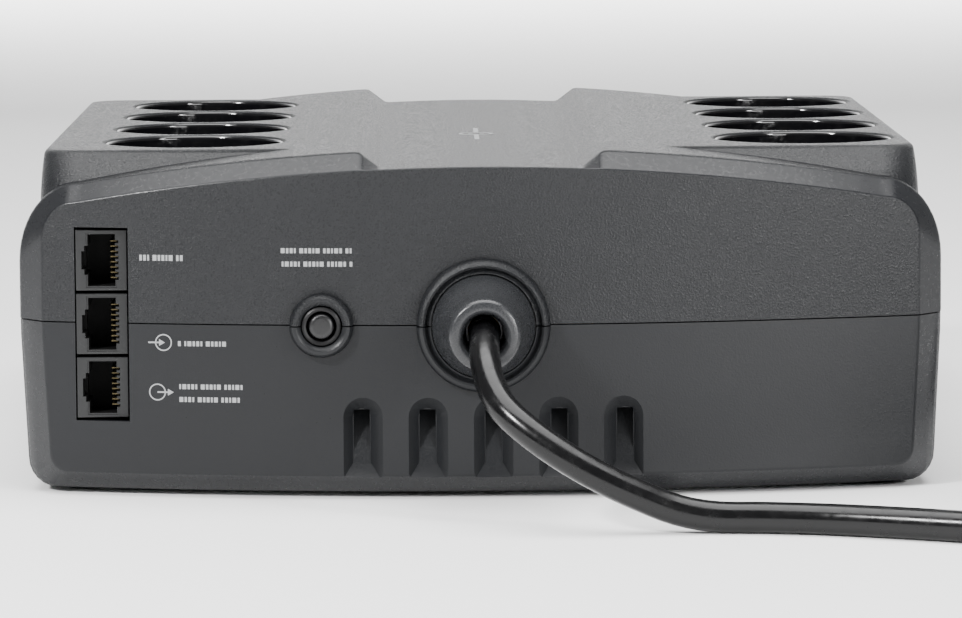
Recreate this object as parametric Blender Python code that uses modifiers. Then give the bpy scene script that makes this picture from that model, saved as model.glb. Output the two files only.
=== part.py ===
"""Eight-outlet desktop uninterruptible power supply, built in its own frame.

+Z is up and the origin is on the floor, under the middle of the case. The rear panel, with the
mains lead, faces -Y, and the power button is on the sloping front, towards +Y. Sizes are given in
millimetres, and MM turns them into the scene's metres.
"""

import math

import bmesh
import bpy
from mathutils import Euler, Matrix, Vector

MM = 0.001
GAP = 0.3  # running gap between pieces that touch

# Case
HALF_WIDTH = 112.0
BODY_DEPTH = 317.0
COLLAR_PROUD = 3.8  # the lead's collar stands this far out of the rear panel
REAR = COLLAR_PROUD - (BODY_DEPTH + COLLAR_PROUD) / 2
FRONT = REAR + BODY_DEPTH
BOW = 18.5  # the rear panel's middle stands this far behind its ends, and the front's likewise
PART_Z = 42.1  # parting line between the two shells
BASE_Z = 1.0  # underside, held off the floor by the feet
STRIP_Z = 80.0  # middle strip, at its crown
SAG = 11.7  # fall of the arched top from the middle to the sides
WALL = 2.4
TRIM = 2.0  # each shell is made this much past the parting line and then cut back
FLOOR_WALL = 3.4
RIDGE = 6.0  # width of the band round the rear panel
BAND_RUN = 6.5
WING_RISE = 4.1  # height of the wings over the middle strip
CHANNEL_FOOT = 24.0
CHANNEL_TOP = 29.0
FLAT_END = 107.0  # the top starts to slope down to the front here
NOSE_RUN = 9.0
NOSE_FALL = 0.42  # share of the cover's height left at the foot of the front slope
FRONT_FALL = 0.28

# Socket blocks
BLOCK_Z = 82.2
BLOCK_SIDE = 107.3
BLOCK_EDGE = 2.5
BLOCK_REAR = -123.1
BLOCK_FRONT = 74.9
BLOCK_INNER = 36.0
BLOCK_CORNER = 9.0
SOCKET_PITCH = 47.1
SOCKET_FIRST = -93.4
SOCKET_COLUMNS = {"left": -70.8, "right": 81.1}
HOLE_R = 22.5
WELL_R = 21.0
WELL_FLOOR_Z = 64.0
PIN_HALF_SPACING = 9.5

# Rear panel
LEAD_X = 0.3
COLLAR_R = 16.0
BOSS_R = 12.3
CORD_R = 3.6
BREAKER_X = -38.4
BREAKER_RING_R = 7.65
BREAKER_BORE_R = 5.1
BREAKER_BODY_HALF = 6.5
BREAKER_CAVITY_R = 3.5
JACK_X = -91.5
JACK_WIDTH = 12.4
JACK_BOTTOMS = (49.7, 34.3, 18.9)
JACK_HEIGHT = 14.7
JACK_DEPTH = 18.0
VENT_MIDDLE = 2.6
VENT_PITCH = 15.8
VENT_COUNT = 5
FLUTE_HALF = 4.7
FLUTE_Z = (3.4, 24.4)
FLUTE_DEPTH = 1.1
SLOT_HALF = 2.1
SLOT_Z = (7.5, 21.5)

# Front controls, on the slope of the middle strip
SLOPE_END_Z = PART_Z + (STRIP_Z - PART_Z) * NOSE_FALL
SLOPE = math.atan2(STRIP_Z - SLOPE_END_Z, FRONT - NOSE_RUN - FLAT_END)
BUTTON_Y = 134.0
BUTTON_R = 7.2
BUTTON_LEDGE_R = 8.8
BUTTON_LEDGE_Z = -3.2  # height of the ledge's top, from the slope's surface
INDICATOR_Y = 119.0
INDICATOR_R = 2.0
INDICATOR_XS = (-13.5, -4.5, 4.5, 13.5)
DISPLAY_Y = 127.0
DISPLAY_LOW = (-18.0, -10.0, -10.2)  # from the slope's surface, along it and square to it
DISPLAY_HIGH = (18.0, 16.0, -8.6)

# Underside
FOOT_R = 6.0
FOOT_PLACES = ((-96.0, -126.0), (96.0, -126.0), (-96.0, 130.0), (96.0, 130.0))
SCREW_PLACES = ((-62.0, -134.0), (62.0, -134.0), (-90.0, 108.0), (90.0, 108.0))
POST_R = 4.0
SCREW_R = 1.45
BORE_R = 1.75
HEAD_R = 3.1
HEAD_BORE_R = 3.4
SCREW_TOP = 54.0
DOOR_LOW = (-50.0, -46.0)
DOOR_HIGH = (60.0, 119.5)
DOOR_THICK = 1.6
DOOR_TRAVEL = 12.0
BATTERY_LOW = (-42.0, -38.0, BASE_Z + DOOR_THICK + GAP)
BATTERY_HIGH = (52.0, 112.7, 67.9)
HATCH_GAP = 0.8
WIRE_R = 1.4
RED_ROUTE = (
    (44.0, -42.6, 47.4), (45.0, -44.6, 47.2), (50.0, -46.0, 42.0), (58.0, -46.0, 30.0),
    (62.5, -46.0, 16.2),
)
BLACK_ROUTE = (
    (30.0, -42.6, 47.4), (32.0, -44.8, 46.8), (42.0, -52.0, 38.0), (57.0, -56.0, 27.0),
    (62.5, -57.0, 16.2),
)
GROOVE_COUNT = 4  # grooves in each heat sink
GROOVE_WIDTH = 3.0
GROOVE_FOOT = 4.0

# Boards and the parts on them
BOARD_LOW = (58.0, -126.0, 14.0)
BOARD_HIGH = (106.0, 100.0, 15.6)
PARTS_Z = BOARD_HIGH[2] + GAP
RAIL_Z = 43.5
RAIL_THICK = 1.2
LEAF_TOP = 60.0
CLIP_TOP = 78.0
CLIP_OFFSET = 19.0

# Mains lead: the route is chosen by hand, the coil is a ring, and the plug lies beside it
CORD_ROUTE = (
    (0.3, -166.6, 42.1), (0.3, -176.0, 42.0), (0.2, -184.0, 40.6), (0.3, -191.5, 37.0),
    (1.5, -198.4, 32.4), (4.6, -204.6, 27.4), (11.2, -209.6, 22.0), (19.2, -212.8, 16.8),
    (27.2, -214.4, 12.4), (35.4, -215.0, 8.6), (43.6, -215.0, 5.4), (52.5, -215.2, 3.8),
    (64.0, -216.4, 3.7), (78.0, -220.0, 3.7), (94.0, -226.6, 3.7), (112.0, -235.4, 3.7),
    (130.0, -243.6, 3.7), (142.0, -247.6, 3.8),
)
COIL_CENTRE = (178.0, -201.6)
COIL_INNER_R = 31.9
COIL_OUTER_R = 54.1
COIL_LOW = 1.35
COIL_HIGH = 16.3
TAIL_ROUTE = (
    (216.6, -157.6, 9.6), (213.2, -146.4, 6.4), (209.6, -134.0, 4.3), (206.6, -120.0, 3.7),
    (204.6, -105.0, 3.8), (204.1, -94.2, 4.2),
)
PLUG_END = (204.0, -92.0, 4.5)
PLUG_TILT = math.radians(17.4)
PLUG_BODY_R = 18.4
TIE_WIDTH = 12.0
TIE_THICK = 1.0

SIDES = (("left", -1), ("right", 1))
ROUND_SIDES = 28
RING_SIDES = 20
SMALL_SIDES = 12
TO_REAR = (math.radians(90), 0.0, 0.0)  # turns a piece's +Z to point out of the rear panel


def clear_scene():
    for old in list(bpy.data.objects):
        bpy.data.objects.remove(old)


def new_collection(name):
    collection = bpy.data.collections.new(name)
    bpy.context.scene.collection.children.link(collection)
    return collection


clear_scene()
PARTS = new_collection("uninterruptible_power_supply")
CUTTERS = new_collection("cutters")


# ---------------------------------------------------------------- materials and objects


def material(name, colour, roughness, metallic=0.0, alpha=1.0):
    """A Principled BSDF with one colour (sRGB hex) and finish."""
    made = bpy.data.materials.new(name)
    made.use_nodes = True
    shader = made.node_tree.nodes["Principled BSDF"]
    channels = [int(colour[i : i + 2], 16) / 255 for i in (1, 3, 5)]
    linear = [(c / 12.92) if c <= 0.04045 else ((c + 0.055) / 1.055) ** 2.4 for c in channels]
    shader.inputs["Base Color"].default_value = (*linear, 1.0)
    shader.inputs["Roughness"].default_value = roughness
    shader.inputs["Metallic"].default_value = metallic
    shader.inputs["Alpha"].default_value = alpha
    return made


LOOKS = {
    "cover": material("cover_abs", "#3c3d3f", 0.55),
    "base": material("base_abs", "#3a3b3d", 0.55),
    "door": material("door_abs", "#39393b", 0.55),
    "socket": material("socket_polycarbonate", "#161618", 0.12),
    "jack": material("jack_nylon", "#1c1c1e", 0.4),
    "breaker": material("breaker_phenolic", "#202022", 0.45),
    "knob": material("breaker_knob", "#262628", 0.4),
    "button": material("button_abs", "#2c2c2e", 0.3),
    "indicator": material("indicator_lens", "#3d8f4a", 0.15, alpha=0.7),
    "rubber": material("foot_rubber", "#1b1b1c", 0.8),
    "relief": material("relief_pvc", "#1d1d1f", 0.5),
    "cord": material("cord_pvc", "#18181a", 0.42),
    "tie": material("tie_vinyl", "#2a2a2c", 0.5),
    "plug": material("plug_pvc", "#1a1a1c", 0.4),
    "brass": material("contact_brass", "#c6a452", 0.3, metallic=1.0),
    "iron": material("core_steel", "#6f7276", 0.45, metallic=1.0),
    "winding": material("winding_tape", "#c9a14a", 0.45),
    "zinc": material("bracket_zinc", "#a9adb1", 0.4, metallic=1.0),
    "fins": material("fin_aluminium", "#c4c7ca", 0.35, metallic=1.0),
    "board": material("board_laminate", "#1f5a35", 0.4),
    "relay": material("relay_case", "#1d2126", 0.35),
    "sleeve": material("capacitor_sleeve", "#1d2a4a", 0.35),
    "buzzer": material("buzzer_case", "#1a1a1b", 0.4),
    "battery": material("battery_abs", "#4a4c50", 0.5),
    "red": material("lead_red", "#a52a22", 0.45),
    "black": material("lead_black", "#1b1b1c", 0.45),
    "screw": material("screw_steel", "#8e9195", 0.35, metallic=1.0),
}


def place(mesh, name, look=None):
    """An object for a mesh: a part if it has a look, and a cutter if not."""
    mesh.name = name
    made = bpy.data.objects.new(name, mesh)
    if look is None:
        CUTTERS.objects.link(made)
        made.hide_render = True
        made.display_type = "WIRE"
    else:
        PARTS.objects.link(made)
        mesh.materials.clear()
        mesh.materials.append(look)
    return made


def finish(bm, name, look=None, smooth=False):
    bmesh.ops.recalc_face_normals(bm, faces=bm.faces)
    mesh = bpy.data.meshes.new(name)
    bm.to_mesh(mesh)
    bm.free()
    if smooth:
        mesh.shade_smooth()
        mesh.set_sharp_from_angle(angle=math.radians(35))
    return place(mesh, name, look)


def baked(source, name, look=None):
    """A mesh object made from a curve or a piece with modifiers, which is removed."""
    graph = bpy.context.evaluated_depsgraph_get()
    mesh = bpy.data.meshes.new_from_object(source.evaluated_get(graph))
    matrix = source.matrix_world.copy()
    bpy.data.objects.remove(source)
    bm = bmesh.new()
    bm.from_mesh(mesh)
    bmesh.ops.remove_doubles(bm, verts=bm.verts, dist=1e-6)
    bmesh.ops.recalc_face_normals(bm, faces=bm.faces)
    bm.to_mesh(mesh)
    bm.free()
    made = place(mesh, name, look)
    made.matrix_world = matrix
    return made


# ---------------------------------------------------------------- shapes


def add_box(bm, low, high):
    size = Vector(high) - Vector(low)
    middle = (Vector(high) + Vector(low)) / 2
    matrix = Matrix.Translation(middle * MM) @ Matrix.Diagonal((*(size * MM), 1.0))
    return bmesh.ops.create_cube(bm, size=1.0, matrix=matrix)["verts"]


def boxes(name, corners, look=None):
    """One object of separate boxes, given as pairs of opposite corners."""
    bm = bmesh.new()
    for low, high in corners:
        add_box(bm, low, high)
    return finish(bm, name, look)


def rounded_box(name, low, high, edge, look):
    made = boxes(name, [(low, high)], look)
    bevel = made.modifiers.new("edges", "BEVEL")
    bevel.width = edge * MM
    bevel.segments = 1
    return made


def rods(name, places, radius, low, high, sides=SMALL_SIDES, axis="Z"):
    """Cutters: parallel round rods through the places, along Z or Y, with a flat towards +X."""
    bm = bmesh.new()
    half_step = Matrix.Rotation(math.radians(180 / sides), 4, "Z")
    for first, second in places:
        centre = (first, second, (low + high) / 2)
        turn = Matrix.Identity(4)
        if axis == "Y":
            centre = (first, (low + high) / 2, second)
            turn = Matrix.Rotation(math.radians(90), 4, "X")
        bmesh.ops.create_cone(
            bm,
            cap_ends=True,
            segments=sides,
            radius1=radius * MM,
            radius2=radius * MM,
            depth=(high - low) * MM,
            matrix=Matrix.Translation(Vector(centre) * MM) @ turn @ half_step,
        )
    return finish(bm, name)


def turned(name, profile, look=None, sides=ROUND_SIDES):
    """A profile of (radius, height) points from top to bottom, turned about Z."""
    bm = bmesh.new()
    verts = [bm.verts.new((r * MM, 0.0, z * MM)) for r, z in profile]
    for first, second in zip(verts, verts[1:]):
        bm.edges.new((first, second))
    if profile[0][0] > 0.0:
        bm.edges.new((verts[-1], verts[0]))
    mesh = bpy.data.meshes.new(name)
    bm.to_mesh(mesh)
    bm.free()
    drawn = bpy.data.objects.new(name, mesh)
    PARTS.objects.link(drawn)
    screw = drawn.modifiers.new("turn", "SCREW")
    screw.steps = sides
    screw.render_steps = sides
    screw.use_merge_vertices = True
    screw.merge_threshold = 1e-6
    bpy.context.view_layer.update()
    made = baked(drawn, name, look)
    made.data.shade_smooth()
    made.data.set_sharp_from_angle(angle=math.radians(35))
    return made


def put(made, location, turn=(0.0, 0.0, 0.0)):
    """Moves a piece to its place, with its origin at the location in millimetres."""
    made.matrix_world = Matrix.Translation(Vector(location) * MM) @ Euler(turn).to_matrix().to_4x4()
    return made


def boolean(target, other, operation):
    modifier = target.modifiers.new(f"{operation.lower()} {other.name}", "BOOLEAN")
    modifier.operation = operation
    modifier.object = other
    modifier.solver = "EXACT"
    return target


def cut(target, *others):
    for other in others:
        boolean(target, other, "DIFFERENCE")
    return target


def join(target, *others):
    for other in others:
        boolean(target, other, "UNION")
    return target


def bow(x, y):
    """How far a point at this width and depth moves along Y for the bowed rear and front."""
    return -BOW * (x / HALF_WIDTH) ** 2 * y / FRONT


def rear_at(x):
    """Y of the rear panel at this X."""
    return REAR + bow(x, REAR)


def loft(name, rings, stations=(), bowed=True, look=None):
    """A closed solid through rings of points, sliced at the X stations and bowed in plan."""
    bm = bmesh.new()
    loops = [[bm.verts.new(Vector(point) * MM) for point in ring] for ring in rings]
    for lower, upper in zip(loops, loops[1:]):
        for i in range(len(lower)):
            bm.faces.new((lower[i - 1], lower[i], upper[i], upper[i - 1]))
    bm.faces.new(loops[0])
    bm.faces.new(loops[-1])
    for station in stations:
        bmesh.ops.bisect_plane(
            bm,
            geom=bm.verts[:] + bm.edges[:] + bm.faces[:],
            dist=1e-7,
            plane_co=(station * MM, 0.0, 0.0),
            plane_no=(1.0, 0.0, 0.0),
        )
    if bowed:
        for vert in bm.verts:
            vert.co.y += bow(vert.co.x / MM, vert.co.y / MM) * MM
    bmesh.ops.recalc_face_normals(bm, faces=bm.faces)
    bmesh.ops.triangulate(bm, faces=bm.faces[:])
    return finish(bm, name, look)


def smooth_route(points, spacing):
    """Points about this far apart on a smooth curve through the route's own points."""
    route = [Vector(p) for p in points]
    route = [2 * route[0] - route[1], *route, 2 * route[-1] - route[-2]]
    fine = []
    for before, start, end, after in zip(route, route[1:], route[2:], route[3:]):
        pieces = max(1, round((end - start).length / spacing))
        for step in range(pieces):
            t = step / pieces
            fine.append(
                0.5
                * (
                    2 * start
                    + (end - before) * t
                    + (2 * before - 5 * start + 4 * end - after) * t**2
                    + (3 * start - before - 3 * end + after) * t**3
                )
            )
    return [*fine, route[-2]]


def tube(name, points, radius, look, resolution=2):
    curve = bpy.data.curves.new(name, "CURVE")
    curve.dimensions = "3D"
    curve.bevel_depth = radius * MM
    curve.bevel_resolution = resolution
    curve.use_fill_caps = True
    spline = curve.splines.new("POLY")
    spline.points.add(len(points) - 1)
    for point, place_of in zip(spline.points, points):
        point.co = (*(Vector(place_of) * MM), 1.0)
    made = bpy.data.objects.new(name, curve)
    made.data.materials.append(look)
    PARTS.objects.link(made)
    return made


# ---------------------------------------------------------------- shells


def arch(x):
    """Height of the arched top over the middle strip's line."""
    return STRIP_Z - SAG * (x / HALF_WIDTH) ** 2


STATIONS = (-97.0, -80.0, -62.0, -45.0, -29.0, -14.0, 0.0, 14.0, 29.0, 45.0, 62.0, 80.0, 97.0)
HOLLOW_STATIONS = (-90.4, -71.3, -53.2, -36.6, -20.7, 7.3, 20.7, 36.6, 53.2, 71.3, 90.4)


def cover_section(y, side, corner, rise, fall=1.0, wall=0.0):
    """The cover's outline across its width at one depth, as points (x, y, z)."""
    corner_x, corner_z = corner
    top = arch(corner_x) + rise
    half = [(side, PART_Z), (side, corner_z)]
    for step in range(1, 6):
        angle = math.radians(18 * step)
        half.append(
            (
                corner_x + (side - corner_x) * math.cos(angle),
                corner_z + (top - corner_z) * math.sin(angle),
            )
        )
    half += [(x, arch(x) + rise) for x in (80.0, 62.0, 45.0)]
    half += [(CHANNEL_TOP + wall / 3, arch(CHANNEL_TOP) + rise)]
    half += [(CHANNEL_FOOT + wall / 3, arch(CHANNEL_FOOT)), (14.0, arch(14.0))]
    lowered = []
    for x, z in half[1:]:
        lowered.append((min(x, side), PART_Z + (z - PART_Z) * fall - wall))
    foot = PART_Z - TRIM - 1.5 * wall
    right = [(side, foot), *lowered]
    middle = (0.0, PART_Z + (arch(0.0) - PART_Z) * fall - wall)
    left = [(-x, z) for x, z in reversed(right)]
    return [(x, y, z) for x, z in [*right, middle, *left]]


def cover_form(name, wall, look=None):
    """The cover's outer form, or its hollow where a wall is given."""
    sections = [
        cover_section(REAR + wall, HALF_WIDTH - RIDGE - wall, (98.0 - wall, 62.0), 0.0, wall=wall),
        cover_section(REAR + BAND_RUN + wall, HALF_WIDTH - wall, (97.0, 56.0), WING_RISE, wall=wall),
        cover_section(FLAT_END - wall / 2, HALF_WIDTH - wall, (97.0, 56.0), WING_RISE, wall=wall),
        cover_section(
            FRONT - NOSE_RUN - wall, HALF_WIDTH - wall, (97.0, 56.0), WING_RISE, NOSE_FALL, wall
        ),
        cover_section(FRONT - wall, HALF_WIDTH - RIDGE - wall, (97.0, 56.0), 1.0, FRONT_FALL, wall),
    ]
    return loft(name, sections, HOLLOW_STATIONS if wall else STATIONS, look=look)


def block_ring(side, z, inner, rear, front, outer, radius):
    """A socket block's plan at one height: square on the inner side, round at the outer corners."""
    points = [(inner, rear), (outer - radius, rear)]
    for step in range(1, 5):
        angle = math.radians(-90 + 22.5 * step)
        points.append(
            (outer - radius + radius * math.cos(angle), rear + radius + radius * math.sin(angle))
        )
    for step in range(5):
        angle = math.radians(22.5 * step)
        points.append(
            (outer - radius + radius * math.cos(angle), front - radius + radius * math.sin(angle))
        )
    points.append((inner, front))
    return [(side * x, y, z) for x, y in points]


def block_form(name, side, rings):
    """A socket block, or its hollow, through rings of (height, rear, front, outer side)."""
    solid = [
        block_ring(side, z, BLOCK_INNER, rear, front, outer, BLOCK_CORNER)
        for z, rear, front, outer in rings
    ]
    return loft(name, solid, bowed=False)


BLOCK_RINGS = (
    (70.0, BLOCK_REAR - 10.0, BLOCK_FRONT + 9.0, BLOCK_SIDE),
    (76.0, BLOCK_REAR - 8.5, BLOCK_FRONT + 8.0, BLOCK_SIDE),
    (80.4, BLOCK_REAR - 2.5, BLOCK_FRONT + 2.5, BLOCK_SIDE - 0.4),
    (BLOCK_Z, BLOCK_REAR, BLOCK_FRONT, BLOCK_SIDE - BLOCK_EDGE),
)
BLOCK_HOLLOW = (
    (58.0, BLOCK_REAR + 3.5, BLOCK_FRONT - 1.0, BLOCK_SIDE - WALL),
    (BLOCK_Z - WALL, BLOCK_REAR + 3.5, BLOCK_FRONT - 1.0, BLOCK_SIDE - WALL),
)


def socket_places():
    return [
        (x, SOCKET_FIRST + SOCKET_PITCH * i) for x in SOCKET_COLUMNS.values() for i in range(4)
    ]


def on_slope(y):
    """A point on the front slope's middle line."""
    return (0.0, y, STRIP_Z - (y - FLAT_END) * math.tan(SLOPE))


def collars(name):
    """The lead's collar and the breaker's, as rings through the rear panel."""
    lead = turned(
        name + "_lead_ring",
        [
            (BOSS_R + GAP, COLLAR_PROUD),
            (COLLAR_R - 1.2, COLLAR_PROUD),
            (COLLAR_R, COLLAR_PROUD - 1.2),
            (COLLAR_R, -2.0),
            (BOSS_R + GAP, -2.0),
        ],
    )
    put(lead, (LEAD_X, REAR, PART_Z), TO_REAR)
    breaker = turned(
        name + "_breaker_ring",
        [
            (BREAKER_BORE_R, COLLAR_PROUD - 0.5),
            (BREAKER_RING_R - 0.9, COLLAR_PROUD - 0.5),
            (BREAKER_RING_R, COLLAR_PROUD - 1.4),
            (BREAKER_RING_R, -2.0),
            (BREAKER_BORE_R, -2.0),
        ],
        sides=RING_SIDES,
    )
    put(breaker, (BREAKER_X, rear_at(BREAKER_X), PART_Z), TO_REAR)
    return lead, breaker


def trim_box(name, low, high):
    """The half of space that the other shell takes, cut away last for a flat rim."""
    return boxes(name, [((-150.0, -200.0, low), (150.0, 200.0, high))])


def rear_bores(name):
    """Cutters for the holes behind the collars."""
    span = (REAR - 9.0, REAR + 9.0)
    lead_place = [(LEAD_X, PART_Z)]
    breaker_place = [(BREAKER_X, PART_Z)]
    lead = rods(name + "_lead_bore", lead_place, BOSS_R + GAP, *span, ROUND_SIDES, "Y")
    breaker = rods(name + "_breaker_bore", breaker_place, BREAKER_BORE_R, *span, RING_SIDES, "Y")
    return lead, breaker


def jack_opening(name):
    low = (JACK_X - JACK_WIDTH / 2 - GAP, REAR - 5.0, JACK_BOTTOMS[-1] - GAP)
    high = (JACK_X + JACK_WIDTH / 2 + GAP, REAR + 28.0, JACK_BOTTOMS[0] + JACK_HEIGHT + GAP)
    return boxes(name, [(low, high)])


def make_top_cover():
    cover = cover_form("top_cover", 0.0, LOOKS["cover"])
    blocks = [block_form(f"{side}_block", sign, BLOCK_RINGS) for side, sign in SIDES]
    join(cover, *blocks)
    cut(cover, cover_form("cover_hollow", WALL))
    cut(cover, *[block_form(f"{side}_block_hollow", sign, BLOCK_HOLLOW) for side, sign in SIDES])
    posts = rods("cover_posts", SCREW_PLACES, POST_R, PART_Z - TRIM, BLOCK_Z)
    boolean(posts, cover_form("post_limit", WALL / 2), "INTERSECT")
    join(cover, posts)
    join(cover, *collars("cover"))
    cut(cover, *rear_bores("cover"), jack_opening("cover_jack_opening"))
    cut(cover, rods("well_holes", socket_places(), HOLE_R, 70.0, 90.0, ROUND_SIDES))
    cut(cover, rods("cover_pilots", SCREW_PLACES, BORE_R, PART_Z - 2 * TRIM, SCREW_TOP + 4.0))
    button_hole = rods("button_hole", [(0.0, 0.0)], BUTTON_R + GAP, -9.0, 9.0, RING_SIDES)
    put(button_hole, on_slope(BUTTON_Y), (-SLOPE, 0.0, 0.0))
    holes = [(x, 0.0) for x in INDICATOR_XS]
    lens_holes = rods("lens_holes", holes, INDICATOR_R + GAP, -9.0, 9.0)
    put(lens_holes, on_slope(INDICATOR_Y), (-SLOPE, 0.0, 0.0))
    cut(cover, button_hole, lens_holes, trim_box("below_cover", -10.0, PART_Z + GAP / 2))


def base_section(y, side, low, edge):
    """The base's outline across its width at one depth; edge is the round at its bottom."""
    top = PART_Z + TRIM
    half = [
        (side, top),
        (side - 1.7, low + edge),
        (side - 1.7 - edge * 0.3, low + edge * 0.3),
        (side - 1.7 - edge, low),
    ]
    left = [(-x, z) for x, z in reversed(half)]
    return [(x, y, z) for x, z in [*half, *left]]


def make_base_shell():
    sections = [
        base_section(REAR, HALF_WIDTH - RIDGE, BASE_Z + 4.5, 4.0),
        base_section(REAR + BAND_RUN, HALF_WIDTH, BASE_Z, 7.0),
        base_section(FRONT - BAND_RUN, HALF_WIDTH, BASE_Z, 7.0),
        base_section(FRONT, HALF_WIDTH - RIDGE, BASE_Z + 4.5, 4.0),
    ]
    shell = loft("base_shell", sections, STATIONS, look=LOOKS["base"])
    hollow = [
        base_section(REAR + WALL, HALF_WIDTH - RIDGE - WALL, BASE_Z + 6.0, 4.0),
        base_section(REAR + BAND_RUN + 2.0, HALF_WIDTH - WALL, BASE_Z + FLOOR_WALL, 5.0),
        base_section(FRONT - BAND_RUN - 2.0, HALF_WIDTH - WALL, BASE_Z + FLOOR_WALL, 5.0),
        base_section(FRONT - WALL, HALF_WIDTH - RIDGE - WALL, BASE_Z + 6.0, 4.0),
    ]
    raised = [[(x, y, z + WALL if z > PART_Z else z) for x, y, z in ring] for ring in hollow]
    cut(shell, loft("base_hollow", raised, HOLLOW_STATIONS))
    join(shell, rods("base_posts", SCREW_PLACES, POST_R, BASE_Z + WALL, PART_Z + TRIM / 2))
    join(shell, *collars("base"))
    cut(shell, *rear_bores("base"), jack_opening("base_jack_opening"))
    cut(shell, rods("screw_bores", SCREW_PLACES, BORE_R, -1.0, PART_Z + 2 * TRIM))
    cut(shell, rods("screw_head_bores", SCREW_PLACES, HEAD_BORE_R, -1.0, BASE_Z + 4.0))
    cut(shell, rods("foot_pockets", FOOT_PLACES, FOOT_R + GAP, -1.0, BASE_Z + 1.5, RING_SIDES))
    slots = []
    flutes = []
    for i in range(VENT_COUNT):
        x = VENT_MIDDLE + VENT_PITCH * (i - VENT_COUNT // 2)
        y = rear_at(x)
        slots.append(((x - SLOT_HALF, y - 4.0, SLOT_Z[0]), (x + SLOT_HALF, y + 8.0, SLOT_Z[1])))
        flute_low = (x - FLUTE_HALF, y - 4.0, FLUTE_Z[0])
        flutes.append((flute_low, (x + FLUTE_HALF, y + FLUTE_DEPTH, FLUTE_Z[1])))
    cut(shell, boxes("vent_flutes", flutes), boxes("vent_slots", slots))
    recess_low = (DOOR_LOW[0] - GAP, DOOR_LOW[1] - GAP, -1.0)
    recess_high = (DOOR_HIGH[0] + GAP, DOOR_HIGH[1] + DOOR_TRAVEL + 1.0, BASE_Z + DOOR_THICK + GAP)
    hatch_low = (BATTERY_LOW[0] - HATCH_GAP, BATTERY_LOW[1] - HATCH_GAP, -1.0)
    hatch_top = BASE_Z + FLOOR_WALL + 2.0
    hatch_high = (BATTERY_HIGH[0] + HATCH_GAP, BATTERY_HIGH[1] + HATCH_GAP, hatch_top)
    cut(shell, boxes("door_recess", [(recess_low, recess_high)]))
    cut(shell, boxes("battery_hatch", [(hatch_low, hatch_high)]))
    cut(shell, trim_box("above_base", PART_Z - GAP / 2, 120.0))


# ---------------------------------------------------------------- sockets and contact rails


def make_socket(name, x, y):
    """A glossy well: a tube with a floor, two pin holes and slots for the two earth clips."""
    skin = BLOCK_Z - WALL - GAP
    tube_r = HOLE_R - GAP
    floor = WELL_FLOOR_Z
    well = turned(
        name,
        [
            (0.0, floor), (WELL_R - 1.0, floor), (WELL_R - 0.2, floor + 1.0),
            (WELL_R, BLOCK_Z - GAP), (tube_r, BLOCK_Z - GAP), (tube_r, skin), (HOLE_R + 0.6, skin),
            (HOLE_R + 0.6, skin - 2.0), (tube_r, skin - 2.0), (tube_r, 54.0), (WELL_R - 0.5, 54.0),
            (WELL_R - 0.5, floor - 3.0), (0.0, floor - 3.0),
        ],
        LOOKS["socket"],
    )
    pins = [(side * PIN_HALF_SPACING, 0.0) for _, side in SIDES]
    slots = [
        ((-2.6, side * CLIP_OFFSET - 0.9, floor - 6.0), (2.6, side * CLIP_OFFSET + 0.9, floor + 3.0))
        for _, side in SIDES
    ]
    cutters = [
        rods(name + "_pins", pins, 3.0, floor - 6.0, floor + 3.0),
        boxes(name + "_clip_slots", slots),
    ]
    cut(well, *cutters)
    for piece in (well, *cutters):
        piece.location = Vector((x, y, 0.0)) * MM


def leaf_rail(name, x):
    """A brass strip with a pair of spring leaves under each pin hole of one column."""
    ys = [SOCKET_FIRST + SOCKET_PITCH * i for i in range(4)]
    low = (x - 3.9, ys[0] - 10.0, RAIL_Z)
    high = (x + 3.9, ys[-1] + 10.0, RAIL_Z + RAIL_THICK)
    strip = boxes(name, [(low, high)], LOOKS["brass"])
    leaves = []
    for y in ys:
        for _, side in SIDES:
            inner, outer = sorted((side * 2.6, side * 3.4))
            leaves.append(((x + inner, y - 3.0, RAIL_Z + 0.4), (x + outer, y + 3.0, LEAF_TOP)))
    join(strip, boxes(name + "_leaves", leaves))


def earth_rail(name, x):
    """A brass strip with the two earth clips of each well in one column."""
    ys = [SOCKET_FIRST + SOCKET_PITCH * i for i in range(4)]
    low = (x - 2.8, ys[0] - CLIP_OFFSET - 2.0, RAIL_Z)
    high = (x + 2.8, ys[-1] + CLIP_OFFSET + 2.0, RAIL_Z + RAIL_THICK)
    strip = boxes(name, [(low, high)], LOOKS["brass"])
    clips = []
    for y in ys:
        for _, side in SIDES:
            middle = y + side * CLIP_OFFSET
            clips.append(((x - 2.0, middle - 0.4, RAIL_Z + 0.4), (x + 2.0, middle + 0.4, CLIP_TOP)))
    join(strip, boxes(name + "_clips", clips))


def make_sockets():
    for side, x in SOCKET_COLUMNS.items():
        for i in range(4):
            make_socket(f"socket_{side}_{i + 1}", x, SOCKET_FIRST + SOCKET_PITCH * i)
        earth_rail(f"earth_rail_{side}", x)
        leaf_rail(f"live_rail_{side}", x - PIN_HALF_SPACING)
        leaf_rail(f"neutral_rail_{side}", x + PIN_HALF_SPACING)


# ---------------------------------------------------------------- rear panel pieces


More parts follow.
